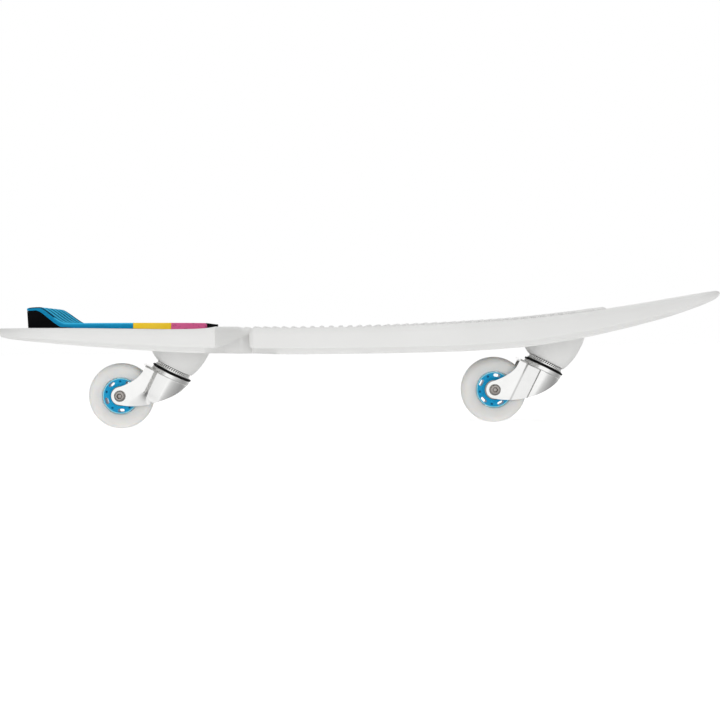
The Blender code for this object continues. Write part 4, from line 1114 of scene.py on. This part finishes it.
def build_fork(prefix, swivel, body):
    creases = CREASES[prefix]
    fork = bent_block(prefix + "_caster_fork", creases, 0.0, CROWN_TOP, CROWN_BEND)
    hollow = bent_block("hollow", creases, SHEET, CROWN_UNDERSIDE, CROWN_BEND - SHEET / 2)
    combine(fork, hollow, "DIFFERENCE")
    combine(fork, cutter(fork_side(), standing=True), "INTERSECT")
    rim_profile = arc(
        (CROWN_RADIUS - CROWN_RIM_ROUND, CROWN_RIM_TOP - CROWN_RIM_ROUND), CROWN_RIM_ROUND, 90, 0, 6)
    rim_profile += [(CROWN_RADIUS, CROWN_TOP - SHEET / 2), (SEAL_INNER_RADIUS, CROWN_TOP - SHEET / 2)]
    rim_profile.append((SEAL_INNER_RADIUS, CROWN_RIM_TOP))
    combine(fork, turned("rim", rim_profile, ROUND_STEPS), "UNION")
    lip_half = LEG_OUTER_Y - SHEET / 2
    combine(fork, prism("lip", lip_side(), -lip_half, lip_half, standing=True), "UNION")
    combine(fork, cutter(circle(KINGPIN_HOLE, HOLE_STEPS)), "DIFFERENCE")
    combine(fork, cutter(circle(AXLE_HOLE, HOLE_STEPS, (-TRAIL, -DROP)), standing=True), "DIFFERENCE")
    round_edges(fork, SHEET_EDGE, 50)
    placed(fork, swivel)
    finished(fork, "chrome", body, prefix + "_fork", angle=30)
    fork.modifiers.new("Flat", "WEIGHTED_NORMAL").keep_sharp = True
    settle(fork)


def build_swivel_parts(prefix, swivel, deck_body, body):
    def knurl(turn, radius, height):
        """Slanted teeth round the cup's wall."""
        if radius != CUP_RADIUS:
            return 0.0
        along = (height - CUP_BOTTOM) / (CUP_TOP - CUP_BOTTOM)
        wave = 0.5 + 0.5 * math.sin(KNURLS * turn - KNURL_SLANT * math.pi * along)
        return KNURL_DEPTH * wave ** KNURL_SHARPNESS

    lip_top = CUP_BOTTOM + CUP_LIP_HEIGHT
    profile = [(CUP_RADIUS - KNURL_DEPTH, CUP_TOP)]
    profile += [(CUP_RADIUS, height) for height in stations(CUP_TOP - CUP_EDGE, lip_top, 6)]
    lip_middle = CUP_LIP_RADIUS - CUP_LIP_ROUND
    profile += arc((lip_middle, lip_top - CUP_LIP_ROUND), CUP_LIP_ROUND, 90, 0, 3)
    profile += arc((lip_middle, CUP_BOTTOM + CUP_LIP_ROUND), CUP_LIP_ROUND, 0, -90, 3)
    profile += [(CUP_BORE, CUP_BOTTOM), (CUP_BORE, CUP_TOP)]
    cup = turned(prefix + "_knurled_cup", profile, KNURLS * KNURL_STEPS, knurl)
    # Painted shade: the faces deep between the teeth take the black rubber material, as if in shadow
    painted_shade_between_teeth = []
    for face in cup.data.polygons:
        from_bore = math.hypot(*face.center.xy) - CUP_RADIUS / 2
        if lip_top < face.center.z < CUP_TOP and 0 < from_bore < CUP_RADIUS / 2 - KNURL_PAINTED_SHADE_BELOW:
            painted_shade_between_teeth.append(face.index)
    finished(placed(cup, swivel), "chrome", deck_body, prefix + "_upper_cup", angle=60)
    cup.data.materials.append(MATERIALS["rubber"])
    for index in painted_shade_between_teeth:
        cup.data.polygons[index].material_index = 1
    seal_profile = rounded_ring(SEAL_INNER_RADIUS, SEAL_RADIUS, SEAL_BOTTOM, SEAL_TOP, SEAL_ROUND)
    seal = placed(turned(prefix + "_seal", seal_profile, ROUND_STEPS), swivel)
    finished(seal, "rubber", body, prefix + "_dust_seal")


def build_axle_parts(prefix, axle, body):
    """Button head bolt with a hex socket, and the lock nut on its end."""
    head_top = AXLE_SEAT + AXLE_HEAD_HEIGHT
    rim = (AXLE_HEAD_RADIUS, AXLE_SEAT + AXLE_HEAD_RIM)
    dome = bezier(rim, (0.0, DOME_HANDLES[0]), (DOME_HANDLES[1], 0.0), (AXLE_HEAD_FLAT, head_top), 10)
    end = -AXLE_SEAT - AXLE_NUT_HEIGHT - AXLE_END_SHOWN
    profile = [
        (AXIS_GAP, end), (AXLE_RADIUS - THREAD_CHAMFER, end), (AXLE_RADIUS, end + THREAD_CHAMFER),
        (AXLE_RADIUS, AXLE_SEAT), (AXLE_HEAD_RADIUS - HEAD_CHAMFER, AXLE_SEAT),
        (AXLE_HEAD_RADIUS, AXLE_SEAT + HEAD_CHAMFER), rim, *dome, (AXIS_GAP, head_top)]
    bolt = turned(prefix + "_bolt", profile, BOLT_STEPS)
    socket = []
    for radius, level in ((AXLE_SOCKET_FLOOR, -AXLE_SOCKET_DEPTH), (AXLE_SOCKET_RADIUS, 0.0),
                          (AXLE_SOCKET_RADIUS, CUTTER_REACH)):
        socket.append(lifted(circle(radius, 6), head_top + level))
    combine(bolt, loft("socket", socket), "DIFFERENCE")
    placed(bolt, axle @ Matrix.Rotation(math.pi, 4, "X"))
    finished(bolt, "dark_steel", body, prefix + "_axle_bolt", slot="steel")
    flats = AXLE_NUT_FLATS / 2
    top = AXLE_SEAT + AXLE_NUT_HEIGHT
    shoulder = top - NUT_COLLAR_HEIGHT
    nut = prism(prefix + "_lock_nut", circle(flats / math.cos(math.radians(30)), 6), AXLE_SEAT, shoulder)
    foot, reach = AXLE_SEAT - NUT_CUT_BELOW, flats + NUT_CHAMFER
    cone = [
        (reach, foot), (reach, shoulder - NUT_CHAMFER), (NUT_COLLAR_RADIUS, shoulder),
        (AXLE_HOLE, shoulder), (AXLE_HOLE, foot)]
    combine(nut, turned("cone", cone, BOLT_STEPS), "INTERSECT")
    collar = rounded_ring(AXLE_HOLE, NUT_COLLAR_RADIUS, shoulder - NUT_OVERLAP, top, NUT_COLLAR_ROUND)
    combine(nut, turned("collar", collar, BOLT_STEPS), "UNION")
    placed(nut, axle)
    finished(nut, "steel", body, prefix + "_axle_nut")


def window_outline(phase, index):
    """One oval window of the wheel core, at an angle up from +X in the side view."""
    straight = (WINDOW_LENGTH - WINDOW_WIDTH) / 2
    oval = arc((straight, 0.0), WINDOW_WIDTH / 2, -90, 90, 10)
    oval += arc((-straight, 0.0), WINDOW_WIDTH / 2, 90, 270, 10)
    angle = math.radians(phase + 360 * index / WINDOW_COUNT)
    outline = []
    for along, across in oval:
        radius = WINDOW_PITCH_RADIUS + across
        outline.append((
            radius * math.cos(angle) - along * math.sin(angle),
            -radius * math.sin(angle) - along * math.cos(angle)))
    return outline


def build_windows(phase):
    bm = bmesh.new()
    floor = HALF_WHEEL - CORE_RECESS - DOT_DEPTH
    for index in range(WINDOW_COUNT):
        between = math.radians(phase + 360 * (index + 0.5) / WINDOW_COUNT)
        centre = (WINDOW_PITCH_RADIUS * math.cos(between), -WINDOW_PITCH_RADIUS * math.sin(between))
        dot = circle(DOT_RADIUS, 16, centre)
        for outline, low, high in (
                (window_outline(phase, index), -CUTTER_REACH, CUTTER_REACH),
                (dot, floor, CUTTER_REACH), (dot, -CUTTER_REACH, -floor)):
            add_loft(bm, [lifted(outline, low), lifted(outline, high)])
    return mesh_object("windows", bm)


def build_wheel(prefix, axle, body):
    face = HALF_WHEEL - CORE_RECESS
    hub = SEAT_RADIUS + HUB_WALL
    pale_rim = CORE_RADIUS - CORE_PALE_RIM
    half = [
        (BEARING_LEDGE, SEAT_HEIGHT), (SEAT_RADIUS, SEAT_HEIGHT),
        (SEAT_RADIUS, HALF_WHEEL - HUB_CHAMFER), (SEAT_RADIUS + HUB_CHAMFER, HALF_WHEEL),
        (hub - HUB_CHAMFER, HALF_WHEEL), (hub, HALF_WHEEL - HUB_CHAMFER),
        (hub + HUB_FOOT[0], face + HUB_FOOT[1]), (hub + WHEEL_CHAMFER, face), (pale_rim, face),
        (CORE_RADIUS - RIM_CHAMFER, face), (CORE_RADIUS, face - RIM_CHAMFER)]
    profile = half + [(radius, -height) for radius, height in reversed(half)]
    core = turned(prefix + "_core", profile, CORE_STEPS)
    combine(core, build_windows(WINDOW_PHASES[prefix]), "DIFFERENCE")
    on_rim = [face.index for face in core.data.polygons if math.hypot(*face.center.xy) > pale_rim]
    finished(placed(core, axle), "core_blue", body, prefix + "_wheel_core")
    core.data.materials.append(MATERIALS["core_pale_blue"])
    for index in on_rim:
        core.data.polygons[index].material_index = 1
    seat = CORE_RADIUS + CORE_GAP
    crown = []
    for across, along in arc((0.0, 0.0), 1.0, 90, -90, 36):
        radius = mix(TYRE_FLAT_RADIUS, WHEEL_RADIUS, max(across, 0.0) ** (2 / TYRE_SQUARENESS))
        crown.append((radius, math.copysign(HALF_WHEEL * abs(along) ** (2 / TYRE_SQUARENESS), along)))
    lead = seat + WHEEL_CHAMFER
    lead_in = [(seat, face), (lead, HALF_WHEEL - BORE_CHAMFER[1]), (lead + BORE_CHAMFER[0], HALF_WHEEL)]
    bore = [(radius, -height) for radius, height in reversed(lead_in)] + lead_in
    tyre = placed(turned(prefix + "_wheel_tyre", crown + bore, TYRE_STEPS), axle)
    finished(tyre, "urethane", body, prefix + "_tyre")


def build_caster(prefix, deck_body):
    body = prefix + "_caster"
    centre = JOINTS[prefix + "_swivel"]["pos_m"]
    swivel = Matrix.Translation(centre) @ Matrix.Rotation(RAKE, 4, "Y")
    centre = JOINTS[prefix + "_wheel_spin"]["pos_m"]
    axle = Matrix.Translation(centre) @ Matrix.Rotation(-math.pi / 2, 4, "X")
    build_fairing(prefix, swivel, deck_body)
    build_swivel_parts(prefix, swivel, deck_body, body)
    build_fork(prefix, swivel, body)
    build_axle_parts(prefix, axle, body)
    build_wheel(prefix, axle, prefix + "_wheel")


# Studio

def build_floor():
    """Pale floor that glows a little to read as white, and shows mirrors a painted shadow of the board,
    darker under it.
    """
    bm = bmesh.new()
    bmesh.ops.create_grid(bm, x_segments=1, y_segments=1, size=FLOOR_HALF_SIZE)
    floor = mesh_object("floor", bm)
    finish = Finish("floor", FLOOR)
    aside = finish.math("ABSOLUTE", finish.axis("Y"))
    path = finish.node("LightPath")
    glow = finish.span(aside, *FLOOR_GLOW_SPAN, *FLOOR_GLOW)
    glow = finish.span(path.outputs["Is Camera Ray"], 0.0, 1.0, glow, FLOOR_GLOW_SEEN)
    finish.set("Emission Strength", glow)
    finish.set("Emission Color", WHITE)
    finish.set("Roughness", FLOOR_ROUGHNESS)
    finish.set("Specular IOR Level", FLOOR_GLOSS)
    # Painted shadow: for glossy rays the floor is an emission that is darker under the board
    mirror_shadow = finish.node("Emission", Strength=finish.span(aside, *FLOOR_MIRROR_SHADOW_SPAN, *FLOOR_MIRROR_SHADOW))
    either = finish.node("MixShader", Fac=path.outputs["Is Glossy Ray"])
    finish.feed(either, {1: finish.shader.outputs["BSDF"], 2: mirror_shadow.outputs["Emission"]})
    finish.feed(finish.nodes["Material Output"], {"Surface": either.outputs["Shader"]})
    floor.data.materials.append(finish.material)


def build_world():
    """White where the camera sees it, grey at the sides of a mirror, and softer as a light."""
    world = bpy.data.worlds.new("studio")
    world.use_nodes = True
    tree = NodeTree(world.node_tree, "Generated")
    path = tree.node("LightPath")
    mirrored = tree.span(tree.math("ABSOLUTE", tree.axis("X")), *SIDE_SPAN, 1.0, SIDE_LIGHT)
    strength = WORLD_LIGHT
    for ray, seen in (("Is Glossy Ray", mirrored), ("Is Transmission Ray", 1.0), ("Is Camera Ray", 1.0)):
        strength = tree.node("Mix", Factor=path.outputs[ray], A=strength, B=seen).outputs["Result"]
    tree.feed(tree.nodes["Background"], {"Strength": strength, "Color": WHITE})
    bpy.context.scene.world = world


def area_light(name, place, target, size, power):
    light = bpy.data.lights.new(name, "AREA")
    light.shape = "RECTANGLE"
    light.size, light.size_y = size
    light.energy = power
    obj = bpy.data.objects.new(name, light)
    obj.location = place
    obj.rotation_euler = (Vector(target) - Vector(place)).to_track_quat("-Z", "Y").to_euler()
    obj.visible_glossy = False
    bpy.context.scene.collection.objects.link(obj)


def build_camera():
    data = bpy.data.cameras.new("camera")
    data.lens = CAMERA_LENS
    data.shift_x = (FRAME_WIDTH / 2 - AXIS_IN_FRAME[0]) / FRAME_WIDTH
    data.shift_y = (AXIS_IN_FRAME[1] - FRAME_WIDTH / 2) / FRAME_WIDTH
    camera = bpy.data.objects.new("camera", data)
    turn = Matrix.Rotation(math.pi / 2, 4, "X") @ Matrix.Rotation(-CAMERA_ROLL, 4, "Z")
    camera.matrix_world = Matrix.Translation(CAMERA_PLACE) @ turn
    bpy.context.scene.collection.objects.link(camera)
    bpy.context.scene.camera = camera


# The nodes that no piece replaces are all steel
for node in NODES.values():
    for material_slot in node.material_slots:
        material_slot.material = MATERIALS["steel"]

build_camera()
build_world()
build_floor()
area_light("top", place=(0.0, -0.2, 1.6), target=(0.0, 0.0, 0.10), size=(2.4, 1.6), power=TOP_POWER)
area_light("front", place=(-0.3, -2.4, 0.3), target=(0.0, 0.0, 0.08), size=(2.4, 1.2), power=FRONT_POWER)

build_deck()
build_grip_bars()
build_pad()
build_caster("rear", "tail_deck")
build_caster("front", "front_deck")

bpy.context.scene.view_settings.view_transform = "Standard"
import json
